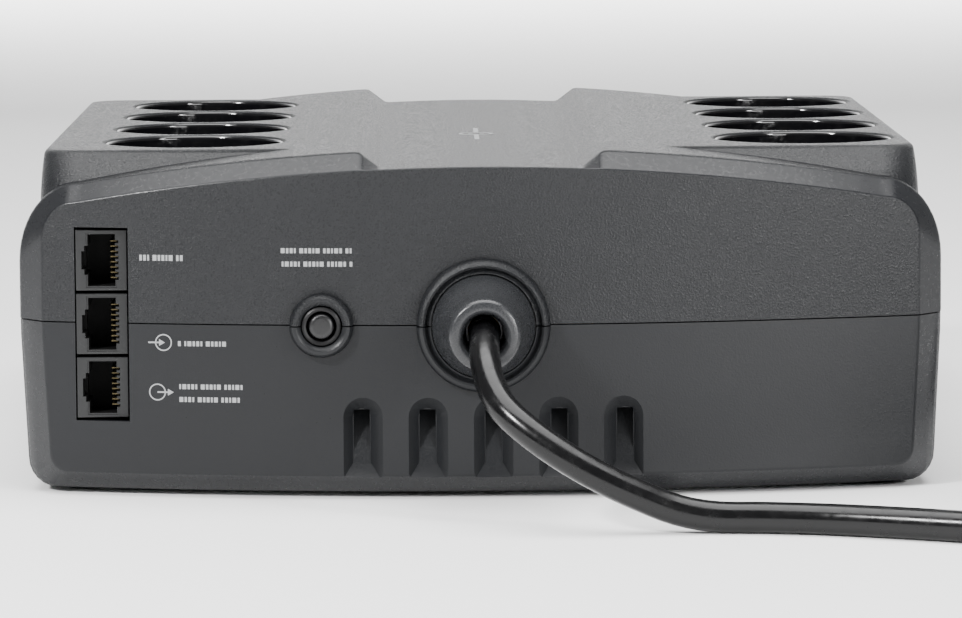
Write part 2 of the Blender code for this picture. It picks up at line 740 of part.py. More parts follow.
def make_data_jacks():
    """Three jacks turned on their sides, with the latch notch towards the case's side."""
    front = rear_at(JACK_X - JACK_WIDTH / 2)
    for i, bottom in enumerate(JACK_BOTTOMS):
        name = f"data_jack_{i + 1}"
        low = (JACK_X - JACK_WIDTH / 2, front, bottom)
        high = (JACK_X + JACK_WIDTH / 2, front + JACK_DEPTH, bottom + JACK_HEIGHT)
        jack = boxes(name, [(low, high)], LOOKS["jack"])
        middle = bottom + JACK_HEIGHT / 2
        mouth = ((JACK_X - 3.0, front - 2.0, middle - 6.3), (JACK_X + 3.7, front + 12.0, middle + 6.3))
        latch = ((JACK_X - 4.8, front - 2.0, middle - 3.3), (JACK_X - 2.0, front + 9.0, middle + 3.3))
        cut(jack, boxes(name + "_mouth", [mouth]), boxes(name + "_latch", [latch]))
    board_y = front + JACK_DEPTH + GAP
    low = (JACK_X - 13.0, board_y, JACK_BOTTOMS[-1] - 6.0)
    high = (JACK_X + 16.0, board_y + 1.6, JACK_BOTTOMS[0] + 16.0)
    boxes("data_board", [(low, high)], LOOKS["board"])


def make_breaker():
    """The breaker's case, with a round snout in the panel's bore, and its reset button."""
    half = BREAKER_BODY_HALF
    low = (BREAKER_X - half, REAR + 6.1, PART_Z - half)
    high = (BREAKER_X + half, REAR + 32.6, PART_Z + half)
    body = boxes("breaker_body", [(low, high)], LOOKS["breaker"])
    place_of = [(BREAKER_X, PART_Z)]
    snout_r = BREAKER_BORE_R - GAP
    join(body, rods("breaker_snout", place_of, snout_r, REAR - 0.4, REAR + 8.0, RING_SIDES, "Y"))
    cut(body, rods("breaker_cavity", place_of, BREAKER_CAVITY_R, REAR - 3.0, REAR + 24.0, RING_SIDES, "Y"))
    button = turned(
        "breaker_button",
        [(0.0, 0.0), (2.3, -0.25), (3.05, -1.0), (3.05, -18.0), (0.0, -18.0)],
        LOOKS["knob"],
        RING_SIDES,
    )
    put(button, (BREAKER_X, REAR - 1.6, PART_Z), TO_REAR)


def make_strain_relief():
    """A domed grommet: the collar holds its neck, and its flange sits behind the panel."""
    bore = CORD_R + GAP + 0.05
    relief = turned(
        "strain_relief",
        [
            (6.5, 24.9), (8.3, 24.6), (8.8, 22.5), (9.4, 17.0), (10.6, 11.0), (11.8, 6.0),
            (BOSS_R, COLLAR_PROUD), (BOSS_R, -3.4), (14.5, -3.4), (14.5, -5.4), (9.0, -5.4),
            (9.0, -8.0), (bore, -8.0), (bore, 16.0),
        ],
        LOOKS["relief"],
    )
    put(relief, (LEAD_X, REAR, PART_Z), TO_REAR)


# ---------------------------------------------------------------- mains lead and plug


def make_cord():
    tube("power_cord", smooth_route(CORD_ROUTE, 9.0), CORD_R, LOOKS["cord"])
    ring = turned(
        "cord_coil",
        [
            (COIL_INNER_R + 3.0, COIL_HIGH), (COIL_OUTER_R - 3.0, COIL_HIGH),
            (COIL_OUTER_R, COIL_HIGH - 3.0), (COIL_OUTER_R, COIL_LOW + 3.0),
            (COIL_OUTER_R - 3.0, COIL_LOW), (COIL_INNER_R + 3.0, COIL_LOW),
            (COIL_INNER_R, COIL_LOW + 3.0), (COIL_INNER_R, COIL_HIGH - 3.0),
        ],
        LOOKS["cord"],
    )
    put(ring, (*COIL_CENTRE, 0.0))
    tube("cord_tail", smooth_route(TAIL_ROUTE, 8.0), CORD_R, LOOKS["cord"])
    x, y = COIL_CENTRE
    inner_low = (x - TIE_WIDTH, y + COIL_INNER_R - 1.1, COIL_LOW - GAP)
    inner_high = (x + TIE_WIDTH, y + COIL_OUTER_R + 0.6, COIL_HIGH + 0.4)
    outer_low = (x - TIE_WIDTH / 2, inner_low[1] - TIE_THICK, inner_low[2] - TIE_THICK)
    outer_high = (x + TIE_WIDTH / 2, inner_high[1] + TIE_THICK, inner_high[2] + TIE_THICK)
    tie = boxes("cord_tie", [(outer_low, outer_high)], LOOKS["tie"])
    cut(tie, boxes("tie_opening", [(inner_low, inner_high)]))


def make_plug():
    """A straight two-pin plug lying on the floor, its axis tilted up from the boot."""
    plug = turned(
        "plug",
        [
            (0.0, 58.0), (PLUG_BODY_R, 58.0), (PLUG_BODY_R, 44.0), (17.0, 40.0), (14.0, 30.0),
            (9.0, 22.0), (6.0, 20.0), (5.2, 2.0), (4.6, 0.0), (0.0, 0.0),
        ],
        LOOKS["plug"],
    )
    pins = rods("plug_pins", [(side * PIN_HALF_SPACING, 0.0) for _, side in SIDES], 2.4, 56.0, 77.0)
    join(plug, pins)
    for piece in (plug, pins):
        put(piece, PLUG_END, (PLUG_TILT - math.radians(90), 0.0, 0.0))


# ---------------------------------------------------------------- front controls


def make_controls():
    tilt = (-SLOPE, 0.0, 0.0)
    button = turned(
        "power_button",
        [
            (0.0, 0.8), (BUTTON_R - 1.2, 0.8), (BUTTON_R, 0.1), (BUTTON_R, BUTTON_LEDGE_Z),
            (BUTTON_LEDGE_R, BUTTON_LEDGE_Z), (BUTTON_LEDGE_R, BUTTON_LEDGE_Z - 1.2),
            (2.5, BUTTON_LEDGE_Z - 1.2), (2.5, -6.6), (0.0, -6.6),
        ],
        LOOKS["button"],
        RING_SIDES,
    )
    put(button, on_slope(BUTTON_Y), tilt)
    for i, x in enumerate(INDICATOR_XS):
        profile = [(0.0, 0.4), (1.2, 0.3), (INDICATOR_R, -0.3), (INDICATOR_R, -7.8), (0.0, -7.8)]
        lens = turned(f"indicator_{i + 1}", profile, LOOKS["indicator"], SMALL_SIDES)
        _, y, z = on_slope(INDICATOR_Y)
        put(lens, (x, y, z), tilt)
    board = boxes("display_board", [(DISPLAY_LOW, DISPLAY_HIGH)], LOOKS["board"])
    put(board, on_slope(DISPLAY_Y), tilt)


# ---------------------------------------------------------------- battery, transformer and boards


def make_battery():
    low, high = BATTERY_LOW, BATTERY_HIGH
    battery = rounded_box("battery", low, high, 2.0, LOOKS["battery"])
    tabs = [((x - 3.1, low[1] - 3.0, 47.0), (x + 3.1, low[1] + 3.0, 47.8)) for x in (30.0, 44.0)]
    join(battery, boxes("battery_tabs", tabs))
    door_low = (*DOOR_LOW, BASE_Z)
    door_high = (*DOOR_HIGH, BASE_Z + DOOR_THICK)
    door = boxes("battery_door", [(door_low, door_high)], LOOKS["door"])
    grip = ((-15.0, 96.0, BASE_Z - 1.0), (25.0, 100.0, BASE_Z + 0.7))
    cut(door, boxes("door_grip", [grip]))
    tube("battery_lead_red", smooth_route(RED_ROUTE, 4.0), WIRE_R, LOOKS["red"], 1)
    tube("battery_lead_black", smooth_route(BLACK_ROUTE, 4.0), WIRE_R, LOOKS["black"], 1)


def make_transformer():
    core = boxes("transformer_core", [((-34.0, -112.0, 6.5), (42.0, -62.0, 66.5))], LOOKS["iron"])
    windows = [
        ((-20.0, -120.0, 17.0), (-7.0, -50.0, 56.0)),
        ((15.0, -120.0, 17.0), (28.0, -50.0, 56.0)),
    ]
    cut(core, boxes("core_windows", windows))
    coil_low, coil_high = (-19.7, -126.0, 17.3), (27.7, -48.0, 55.7)
    coil = boxes("transformer_coil", [(coil_low, coil_high)], LOOKS["winding"])
    leg = ((-7.3, -112.3, 10.0), (15.3, -61.7, 60.0))
    cut(coil, boxes("coil_opening", [leg]))
    bracket = boxes(
        "transformer_bracket", [((-46.0, -108.0, 4.7), (54.0, -66.0, 6.2))], LOOKS["zinc"]
    )
    legs = [
        ((-35.9, -107.0, 5.2), (-34.3, -67.0, 50.0)),
        ((42.3, -107.0, 5.2), (43.9, -67.0, 50.0)),
    ]
    join(bracket, boxes("bracket_legs", legs))


def make_heat_sink(name, low, high):
    """A finned block: a base plate with grooves cut down from the top."""
    sink = boxes(name, [(low, high)], LOOKS["fins"])
    grooves = []
    pitch = (high[0] - low[0] + GROOVE_WIDTH) / (GROOVE_COUNT + 1)
    for i in range(GROOVE_COUNT):
        start = low[0] + pitch * (i + 1) - GROOVE_WIDTH
        groove_low = (start, low[1] - 2.0, low[2] + GROOVE_FOOT)
        groove_high = (start + GROOVE_WIDTH, high[1] + 2.0, high[2] + 2.0)
        grooves.append((groove_low, groove_high))
    cut(sink, boxes(name + "_grooves", grooves))


def make_boards():
    boxes("main_board", [(BOARD_LOW, BOARD_HIGH)], LOOKS["board"])
    z = PARTS_Z
    for i, y in enumerate((-118.0, -98.0)):
        name = f"relay_{i + 1}"
        rounded_box(name, (62.0, y, z), (81.0, y + 15.5, z + 15.8), 0.6, LOOKS["relay"])
    make_heat_sink("heat_sink_1", (80.0, -34.0, z), (102.0, 6.0, z + 24.0))
    make_heat_sink("heat_sink_2", (80.0, 14.0, z), (102.0, 54.0, z + 24.0))
    can = [(0.0, 24.0), (7.2, 24.0), (8.0, 23.2), (8.0, 0.0), (0.0, 0.0)]
    for i, y in enumerate((8.0, 32.0)):
        put(turned(f"capacitor_{i + 1}", can, LOOKS["sleeve"], RING_SIDES), (68.5, y, z))
    disc = [(1.2, 8.0), (7.0, 8.0), (7.0, 0.0), (1.2, 0.0)]
    put(turned("buzzer", disc, LOOKS["buzzer"], RING_SIDES), (94.0, 84.0, z))


# ---------------------------------------------------------------- feet and screws


def make_feet_and_screws():
    foot = [(0.0, 2.2), (FOOT_R, 2.2), (FOOT_R, 0.5), (FOOT_R - 0.5, 0.0), (0.0, 0.0)]
    for i, (x, y) in enumerate(FOOT_PLACES):
        put(turned(f"foot_{i + 1}", foot, LOOKS["rubber"], RING_SIDES), (x, y, 0.0))
    screw = [
        (0.0, SCREW_TOP), (SCREW_R, SCREW_TOP - 1.5), (SCREW_R, 4.5), (HEAD_R, 4.5), (HEAD_R, 2.0),
        (0.0, 2.0),
    ]
    for i, (x, y) in enumerate(SCREW_PLACES):
        made = turned(f"case_screw_{i + 1}", screw, LOOKS["screw"], SMALL_SIDES)
        drive = boxes(f"screw_drive_{i + 1}", [((-2.0, -0.4, 1.0), (2.0, 0.4, 3.0))])
        cut(made, drive)
        for piece in (made, drive):
            put(piece, (x, y, 0.0))


make_top_cover()
make_base_shell()
make_sockets()
make_data_jacks()
make_breaker()
make_strain_relief()
make_cord()
make_plug()
make_controls()
make_battery()
make_transformer()
make_boards()
make_feet_and_screws()
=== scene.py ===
"""Desktop uninterruptible power supply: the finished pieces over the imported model.

+Z is up, the rear panel with the mains lead faces -Y and the front slope with the power button
faces +Y. Numbers are millimetres until mm() turns them into metres.
"""

import math

import bmesh
import bpy
from mathutils import Matrix, Vector


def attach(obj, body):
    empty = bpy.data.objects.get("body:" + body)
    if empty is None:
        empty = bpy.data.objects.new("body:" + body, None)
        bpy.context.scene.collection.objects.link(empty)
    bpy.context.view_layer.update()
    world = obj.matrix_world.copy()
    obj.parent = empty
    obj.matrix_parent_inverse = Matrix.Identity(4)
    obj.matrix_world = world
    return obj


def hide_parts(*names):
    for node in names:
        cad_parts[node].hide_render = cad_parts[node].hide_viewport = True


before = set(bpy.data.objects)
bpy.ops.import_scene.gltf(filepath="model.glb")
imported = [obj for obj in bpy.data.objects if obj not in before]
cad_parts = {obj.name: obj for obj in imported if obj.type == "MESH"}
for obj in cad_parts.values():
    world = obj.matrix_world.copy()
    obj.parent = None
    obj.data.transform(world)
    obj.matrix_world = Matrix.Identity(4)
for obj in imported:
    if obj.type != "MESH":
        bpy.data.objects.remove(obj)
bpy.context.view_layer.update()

# ---------------------------------------------------------------- sizes, as the model has them

HALF_WIDTH = 112.0
REAR = -156.6
FRONT = 160.4
BOW = 18.5
PART_Z = 42.1
SEAM = 0.15
BASE_Z = 1.0
STRIP_Z = 80.0
SAG = 11.7
RIDGE = 6.0
BAND_RUN = 6.5
WING_RISE = 4.1
FLAT_END = 107.0
NOSE_RUN = 9.0
NOSE_FALL = 0.42
FRONT_FALL = 0.28
SLOPE = math.atan2((STRIP_Z - PART_Z) * (1 - NOSE_FALL), FRONT - NOSE_RUN - FLAT_END)
BLOCK_Z = 82.2
BLOCK_SIDE = 107.3
SOCKETS = [(x, -93.4 + 47.1 * i) for x in (-70.8, 81.1) for i in range(4)]
LEAD_X = 0.3
BREAKER_X = -38.4
VENTS = [2.6 + 15.8 * (i - 2) for i in range(5)]
JACK_X = -91.5
JACK_BOTTOMS = (49.7, 34.3, 18.9)
JACK_HEIGHT = 14.7
JACK_HALF = 6.2
JACK_DEPTH = 18.0
CONTACT_PITCH = 1.27
SCREWS = ((-62.0, -134.0, 0.0), (62.0, -134.0, 0.0), (-90.0, 108.0, 0.0), (90.0, 108.0, 0.0))
FEET = ((-96.0, -126.0, 0.0), (96.0, -126.0, 0.0), (-96.0, 130.0, 0.0), (96.0, 130.0, 0.0))
BUTTON_Y = 134.0
LIGHT_Y = 119.0
LIGHT_XS = (-13.5, -4.5, 4.5, 13.5)
TO_REAR = Matrix.Rotation(math.radians(90), 4, "X")  # +Z becomes -Y


def mm(*point):
    return Vector(point) * 0.001


def bow(x, y):
    return -BOW * (x / HALF_WIDTH) ** 2 * y / FRONT


def rear_at(x):
    return REAR + bow(x, REAR)


def arch(x):
    return STRIP_Z - SAG * (x / HALF_WIDTH) ** 2


def on_slope(y):
    return (0.0, y, STRIP_Z - (y - FLAT_END) * math.tan(SLOPE))


# ---------------------------------------------------------------- materials


def srgb(code):
    """An sRGB hex colour as linear values."""
    parts = [int(code[i : i + 2], 16) / 255 for i in (1, 3, 5)]
    return (*[c / 12.92 if c <= 0.04045 else ((c + 0.055) / 1.055) ** 2.4 for c in parts], 1.0)


def add(tree, kind, inputs=None, **settings):
    """Adds a node with its settings, and its inputs as values or as sockets to link."""
    node = tree.nodes.new(kind)
    for name, value in settings.items():
        setattr(node, name, value)
    for name, value in (inputs or {}).items():
        if isinstance(value, bpy.types.NodeSocket):
            tree.links.new(value, node.inputs[name])
        else:
            node.inputs[name].default_value = value
    return node


def blank(name):
    made = bpy.data.materials.new(name)
    made.use_nodes = True
    return made, made.node_tree, made.node_tree.nodes["Principled BSDF"]


def per_mm(size):
    """Noise scale on Object coordinates for features of this size in millimetres."""
    return 1000.0 / size


BROAD_PATCH = 45.0  # the size in mm of the slow drift between the two tones
GRAZING_SHEEN = 0.045  # what is left of the sheen of a dry surface at a low angle


def moulded(name, dark, light, roughness, grain, depth, sheen=0.5, sparkle=0.0, dry=False):
    """Moulded plastic: base colour, grain size and depth in mm, and how much the grain glints.

    A dry surface is one whose grain shadows itself, so it stays dark when seen at a low angle.
    """
    made, tree, shader = blank(name)
    where = add(tree, "ShaderNodeTexCoord").outputs["Object"]
    fine = add(
        tree,
        "ShaderNodeTexNoise",
        {"Vector": where, "Scale": per_mm(grain), "Detail": 3.0, "Roughness": 0.6},
    )
    broad = add(tree, "ShaderNodeTexNoise", {"Vector": where, "Scale": per_mm(BROAD_PATCH), "Detail": 2.0})
    tone = add(
        tree,
        "ShaderNodeMix",
        {"Factor": broad.outputs["Fac"], "A": srgb(dark), "B": srgb(light)},
        data_type="RGBA",
    )
    tree.links.new(tone.outputs[2], shader.inputs["Base Color"])
    gloss = add(
        tree,
        "ShaderNodeMapRange",
        {
            "Value": fine.outputs["Fac"],
            "From Min": 0.3,
            "From Max": 0.75,
            "To Min": roughness + 0.08,
            "To Max": roughness - 0.1 - sparkle,
        },
    )
    tree.links.new(gloss.outputs["Result"], shader.inputs["Roughness"])
    bump = add(
        tree,
        "ShaderNodeBump",
        {"Height": fine.outputs["Fac"], "Strength": 1.0, "Distance": depth * 0.001},
    )
    tree.links.new(bump.outputs["Normal"], shader.inputs["Normal"])
    shader.inputs["Specular IOR Level"].default_value = sheen
    if dry:
        edge = add(tree, "ShaderNodeLayerWeight", {"Blend": 0.5})
        shade = add(
            tree,
            "ShaderNodeMapRange",
            {
                "Value": edge.outputs["Facing"],
                "From Min": 0.45,
                "From Max": 0.9,
                "To Min": sheen,
                "To Max": GRAZING_SHEEN,
            },
        )
        tree.links.new(shade.outputs["Result"], shader.inputs["Specular IOR Level"])
    return made


def metal(name, colour, roughness, lines, stretch, depth):
    """Metal with fine lines of this pitch in mm, longer along the axes that stretch over."""
    made, tree, shader = blank(name)
    where = add(tree, "ShaderNodeTexCoord").outputs["Object"]
    turned = add(tree, "ShaderNodeMapping", {"Vector": where, "Scale": stretch})
    grain = add(
        tree,
        "ShaderNodeTexNoise",
        {"Vector": turned.outputs["Vector"], "Scale": per_mm(lines), "Detail": 3.0},
    )
    dull = add(
        tree,
        "ShaderNodeMapRange",
        {"Value": grain.outputs["Fac"], "To Min": roughness - 0.08, "To Max": roughness + 0.12},
    )
    tree.links.new(dull.outputs["Result"], shader.inputs["Roughness"])
    bump = add(tree, "ShaderNodeBump", {"Height": grain.outputs["Fac"], "Distance": depth * 0.001})
    tree.links.new(bump.outputs["Normal"], shader.inputs["Normal"])
    shader.inputs["Base Color"].default_value = srgb(colour)
    shader.inputs["Metallic"].default_value = 1.0
    return made


# Each moulded look gives its two tones, roughness, grain and depth in mm, sheen and sparkle.
# Each metal gives its colour, roughness, line pitch in mm, stretch and depth in mm.
# Every grain is drawn coarser than the real one, which is too fine to show.

# Spark-eroded ABS: a dry charcoal whose grain breaks up every highlight into sparkle.
SHELL = moulded("abs_spark_eroded", "#151618", "#1a1b1d", 0.44, 0.5, 0.2, 0.3, 0.22, dry=True)
# The base comes from a finer grained half of the mould, so it looks smoother than the cover.
BASE = moulded("abs_fine_grain", "#151618", "#1a1b1d", 0.42, 0.5, 0.035, 0.28, 0.06, dry=True)
# The band round the panels is stoned flat: no grain, a soft even reflection.
BAND = moulded("abs_stoned_flat", "#151619", "#1a1b1d", 0.32, 0.8, 0.006, 0.3, dry=True)
# Polished polycarbonate of the outlet wells: near black, with sharp reflections of the lamps.
WELL = moulded("polycarbonate_polished", "#08080a", "#0b0b0d", 0.1, 1.2, 0.001, 0.5)
# Moulded nylon of the jacks: a dark satin grey that shows their edges against black gaps, where the mouths
# carry painted shade.
JACK = moulded("nylon_moulded", "#0d0e0f", "#111213", 0.38, 0.5, 0.012, 0.5)
# The same nylon inside the mouths, darkened as painted shade and so dull that no wall in there catches the
# light.
MOUTH_PAINTED_SHADE = moulded("nylon_painted_shade", "#050505", "#080808", 0.7, 0.5, 0.01, 0.2)
# Grained soft PVC: lighter than the case, with small glints on its dome.
GROMMET = moulded("pvc_grained", "#232426", "#292a2c", 0.34, 0.5, 0.05, 0.5, 0.14)
# Extruded PVC jacket: black and satin, with one long highlight along the cord.
LEAD = moulded("pvc_cable_jacket", "#060607", "#09090a", 0.22, 3.0, 0.008, 0.34)
# PVC moulded over the plug: black, a little duller than the cord.
PLUG = moulded("pvc_overmoulded", "#121214", "#161618", 0.32, 0.5, 0.015, 0.5)
# Moulded satin ABS of both buttons: near black, with a soft edge highlight.
KNOB = moulded("abs_satin_black", "#0b0b0c", "#0e0e10", 0.34, 0.6, 0.005, 0.5)
# Moulded nylon of the breaker: black and almost matt, so its ring hides in the collar.
BREAKER = moulded("nylon_breaker_case", "#070708", "#0a0a0b", 0.42, 0.5, 0.01, 0.3)
# Vinyl strap: a flat dark grey that sets it off from the black cord.
TIE = moulded("vinyl_strap", "#242426", "#2a2a2c", 0.42, 0.7, 0.01, 0.5)
# Moulded rubber: dull and black, with hardly any highlight.
RUBBER = moulded("rubber_foot", "#19191a", "#1e1e1f", 0.75, 0.5, 0.03, 0.3)
# Screen-printed ink: pale grey and flat, held back so that it stays quieter than the metal.
INK = moulded("screen_printed_ink", "#8d8e8f", "#959697", 0.6, 0.4, 0.002, 0.3)
# Tinted polycarbonate, moulded clear and green: a small bright highlight on each lens.
LENS = moulded("polycarbonate_tinted_green", "#2c7a3c", "#35904a", 0.12, 1.0, 0.001, 0.5)
# Gold flash on phosphor bronze, its colour darkened as painted shade for the dark mouth that it sits in.
CONTACT = metal("gold_plated_contact_painted_shade", "#5f5640", 0.4, 0.3, (1, 1, 1), 0.001)
# Rolled brass: warm yellow, with fine rolling lines along the strip.
BRASS = metal("brass_strip", "#c9a65a", 0.3, 0.25, (1, 0.06, 1), 0.002)
# Zinc-plated steel: cool pale grey with a slightly streaky reflection.
ZINC = metal("steel_zinc_plated", "#aeb2b6", 0.36, 0.4, (1, 0.1, 1), 0.003)
# Stacked silicon steel: dull grey, with ridges about as far apart as its sheets.
CORE = metal("silicon_steel_laminations", "#6d7074", 0.45, 0.5, (0.02, 1, 0.02), 0.05)
# Extruded aluminium: pale, with die lines that run along each fin.
FIN = metal("aluminium_extruded", "#c3c6c9", 0.34, 0.4, (1, 0.05, 1), 0.004)
# Nickel-plated brass pins: pale and bright, with a soft reflection.
NICKEL = metal("brass_nickel_plated", "#c4c2ba", 0.22, 0.3, (0.2, 0.2, 1), 0.001)
# Fibreglass under solder mask: deep green with a soft, slightly uneven gloss.
BOARD = moulded("fibreglass_solder_mask", "#174a2c", "#1d5a36", 0.3, 1.6, 0.01, 0.5)
# Polyester tape wound on the coil: amber and glossy, with broad ripples.
TAPE = moulded("polyester_tape", "#b98f35", "#c9a046", 0.32, 5.0, 0.02, 0.5)
# Moulded PBT of the relays and the buzzer: blue-black and satin.
RELAY = moulded("pbt_relay_case", "#1b1f24", "#20252b", 0.32, 0.5, 0.006, 0.5)
# Shrink sleeve of the capacitors: dark blue and glossy, with slow ripples.
SLEEVE = moulded("pvc_shrink_sleeve", "#192441", "#1e2b4c", 0.25, 6.0, 0.01, 0.5)
# Moulded ABS of the battery: mid grey with a fine even grain.
CELL = moulded("abs_battery_case", "#42444a", "#4a4c52", 0.4, 0.5, 0.02, 0.5)
# Extruded PVC on the positive wire: red and glossy.
RED_LEAD = moulded("pvc_wire_red", "#9c241d", "#aa2b23", 0.3, 2.0, 0.008, 0.5)
# Extruded PVC on the negative wire: black and glossy.
BLACK_LEAD = moulded("pvc_wire_black", "#171718", "#1c1c1d", 0.3, 2.0, 0.008, 0.5)


# ---------------------------------------------------------------- mesh helpers


def closed_loop(bm, points):
    verts = [bm.verts.new(mm(*p)) for p in points]
    return [bm.edges.new(pair) for pair in zip(verts, verts[1:] + verts[:1])]


def skin(loops):
    """A closed form: each loop of points is bridged to the next, and both ends are filled."""
    bm = bmesh.new()
    rings = [closed_loop(bm, points) for points in loops]
    for lower, upper in zip(rings, rings[1:]):
        bmesh.ops.bridge_loops(bm, edges=lower + upper)
    bmesh.ops.contextual_create(bm, geom=rings[0])
    bmesh.ops.contextual_create(bm, geom=rings[-1])
    bmesh.ops.recalc_face_normals(bm, faces=bm.faces)
    if bm.calc_volume(signed=True) < 0:
        bmesh.ops.reverse_faces(bm, faces=bm.faces)
    return bm, rings


def soften(bm, edges, width, segments=3):
    bmesh.ops.bevel(
        bm,
        geom=[e for e in edges if e.is_valid],
        offset=width * 0.001,
        offset_type="OFFSET",
        affect="EDGES",
        segments=segments,
        profile=0.5,
        material=-1,
        clamp_overlap=True,
    )


def slice_x(bm, first, last, step):
    x = first
    while x <= last:
        geom = bm.verts[:] + bm.edges[:] + bm.faces[:]
        bmesh.ops.bisect_plane(bm, geom=geom, dist=1e-7, plane_co=mm(x, 0, 0), plane_no=(1, 0, 0))
        x += step


def bend(bm):
    for vert in bm.verts:
        vert.co.y += bow(vert.co.x * 1000, vert.co.y * 1000) * 0.001


def block(bm, low, high, edge=0.0, segments=2):
    """A box between two corners, with its edges rounded."""
    size = Vector(high) - Vector(low)
    middle = (Vector(high) + Vector(low)) / 2
    matrix = Matrix.Translation(middle * 0.001) @ Matrix.Diagonal((*(size * 0.001), 1.0))
    verts = bmesh.ops.create_cube(bm, size=1.0, matrix=matrix)["verts"]
    if edge:
        soften(bm, {e for v in verts for e in v.link_edges}, edge, segments)


def spun(bm, profile, steps=64, matrix=None):
    """Points (radius, height) spun round Z into a closed solid, then moved by the matrix."""
    verts = [bm.verts.new(mm(r, 0, z)) for r, z in profile]
    edges = [bm.edges.new(pair) for pair in zip(verts, verts[1:])]
    if profile[0][0] > 0.0:
        edges.append(bm.edges.new((verts[-1], verts[0])))
    bmesh.ops.spin(
        bm,
        geom=verts + edges,
        cent=(0, 0, 0),
        axis=(0, 0, 1),
        angle=math.tau,
        steps=steps,
        use_merge=True,
        use_duplicate=False,
    )
    bmesh.ops.remove_doubles(bm, verts=bm.verts, dist=1e-7)
    if matrix is not None:
        bmesh.ops.transform(bm, matrix=matrix, verts=bm.verts)
    bmesh.ops.recalc_face_normals(bm, faces=bm.faces)
    return bm


def merge(bm, piece):
    """Adds one bmesh to another and frees it."""
    scratch = bpy.data.meshes.new("scratch")
    piece.to_mesh(scratch)
    piece.free()
    bm.from_mesh(scratch)
    bpy.data.meshes.remove(scratch)


def shape(bm, name, looks=()):
    mesh = bpy.data.meshes.new(name)
    bm.to_mesh(mesh)
    bm.free()
    made = bpy.data.objects.new(name, mesh)
    bpy.context.scene.collection.objects.link(made)
    for look in looks:
        mesh.materials.append(look)
    return made


def apply_modifiers(piece):
    bpy.context.view_layer.update()
    graph = bpy.context.evaluated_depsgraph_get()
    old = piece.data
    piece.data = bpy.data.meshes.new_from_object(piece.evaluated_get(graph))
    piece.modifiers.clear()
    piece.data.name = piece.name
    bpy.data.meshes.remove(old)


def carve(piece, steps):
    """Booleans in order, as pairs of operation and cutter; the cutters are removed after."""
    for number, (operation, cutter) in enumerate(steps):
        modifier = piece.modifiers.new(f"step_{number}", "BOOLEAN")
        modifier.operation = operation
        modifier.solver = "EXACT"
        modifier.object = cutter
    apply_modifiers(piece)
    for _, cutter in steps:
        bpy.data.objects.remove(cutter)
    return piece


def dress(piece, body="case", stands_for=(), angle=34, weighted=True):
    """Smooth faces with sharp edges kept, and the piece's body and CAD nodes."""
    piece.data.shade_smooth()
    piece.data.set_sharp_from_angle(angle=math.radians(angle))
    if weighted:
        modifier = piece.modifiers.new("flat_faces", "WEIGHTED_NORMAL")
        modifier.keep_sharp = True
        modifier.weight = 60
    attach(piece, body)
    if stands_for:
        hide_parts(*stands_for)
    return piece


# ---------------------------------------------------------------- camera

YAW, PITCH, ROLL = 0.0109, 0.1012, -0.0063
EYE = (-14.09, -1424.2, 174.7)
SENSOR = 36.0
FOCAL_LENGTH = 5340 / 962 * SENSOR
forward = Vector((math.sin(YAW) * math.cos(PITCH), math.cos(YAW) * math.cos(PITCH), -math.sin(PITCH)))
level = Vector((math.cos(YAW), -math.sin(YAW), 0.0))
upward = level.cross(forward)
right = level * math.cos(ROLL) + upward * math.sin(ROLL)
up = upward * math.cos(ROLL) - level * math.sin(ROLL)
lens = bpy.data.cameras.new("camera")
lens.sensor_width = SENSOR
lens.lens = FOCAL_LENGTH
lens.clip_start = 0.05
lens.clip_end = 30.0
camera = bpy.data.objects.new("camera", lens)
camera.matrix_world = Matrix.Translation(mm(*EYE)) @ Matrix(
    (right, up, -forward)
).transposed().to_4x4()
bpy.context.scene.collection.objects.link(camera)
bpy.context.scene.camera = camera


# ---------------------------------------------------------------- mains lead

CORD_R = 3.6
LEAD_ROUTE = (
    (0.3, -166.6, 42.1), (0.3, -176.0, 42.0), (0.2, -184.0, 40.6), (0.3, -191.5, 37.0),
    (1.5, -198.4, 32.4), (4.6, -204.6, 27.4), (11.2, -209.6, 22.0), (19.2, -212.8, 16.8),
    (27.2, -214.4, 12.4), (35.4, -215.0, 8.6), (43.6, -215.0, 5.4), (52.5, -215.2, 3.8),
    (64.0, -216.4, 3.7), (78.0, -220.0, 3.7), (94.0, -226.6, 3.7), (112.0, -235.4, 3.7),
    (130.0, -243.6, 3.7), (142.0, -247.6, 3.9), (154.0, -250.6, 4.5), (166.0, -251.9, 4.9),
)
COIL_X, COIL_Y = 178.0, -201.6
COIL_R = 50.3
COIL_PITCH = 7.4
COIL_LOW = 5.0
COIL_CLIMB = 7.3
TURNS = 5.3
TURN_POINTS = 24
TAIL_ROUTE = (
    (222.4, -175.4, 12.3), (219.4, -165.8, 11.2), (216.6, -157.6, 9.4), (213.2, -146.4, 6.4),
    (209.6, -134.0, 4.3), (206.6, -120.0, 3.7), (204.6, -105.0, 3.8), (204.1, -94.2, 4.2),
    (204.0, -88.2, 5.7),
)
PLUG_END = (204.0, -92.0, 4.5)
PLUG_TILT = math.radians(17.4)


def ease(t):
    t = min(max(t, 0.0), 1.0)
    return t * t * (3 - 2 * t)


def coil_point(turn):
    """Two turns inwards on the floor, one that climbs, and the rest outwards on top of them."""
    done, u = divmod(turn, 1.0)
    if done < 2:
        radius = COIL_R - COIL_PITCH * (done + ease((u - 0.68) / 0.32))
        z = COIL_LOW
    elif done < 3:
        radius = COIL_R - 2 * COIL_PITCH
        z = COIL_LOW + COIL_CLIMB * ease((u - 0.5) / 0.35)
    else:
        radius = COIL_R - COIL_PITCH * max(0.0, 5 - done - ease((u - 0.3) / 0.3))
        z = COIL_LOW + COIL_CLIMB
    angle = math.radians(-90 + 360 * turn)
    return (COIL_X + radius * math.cos(angle), COIL_Y + radius * math.sin(angle), z)


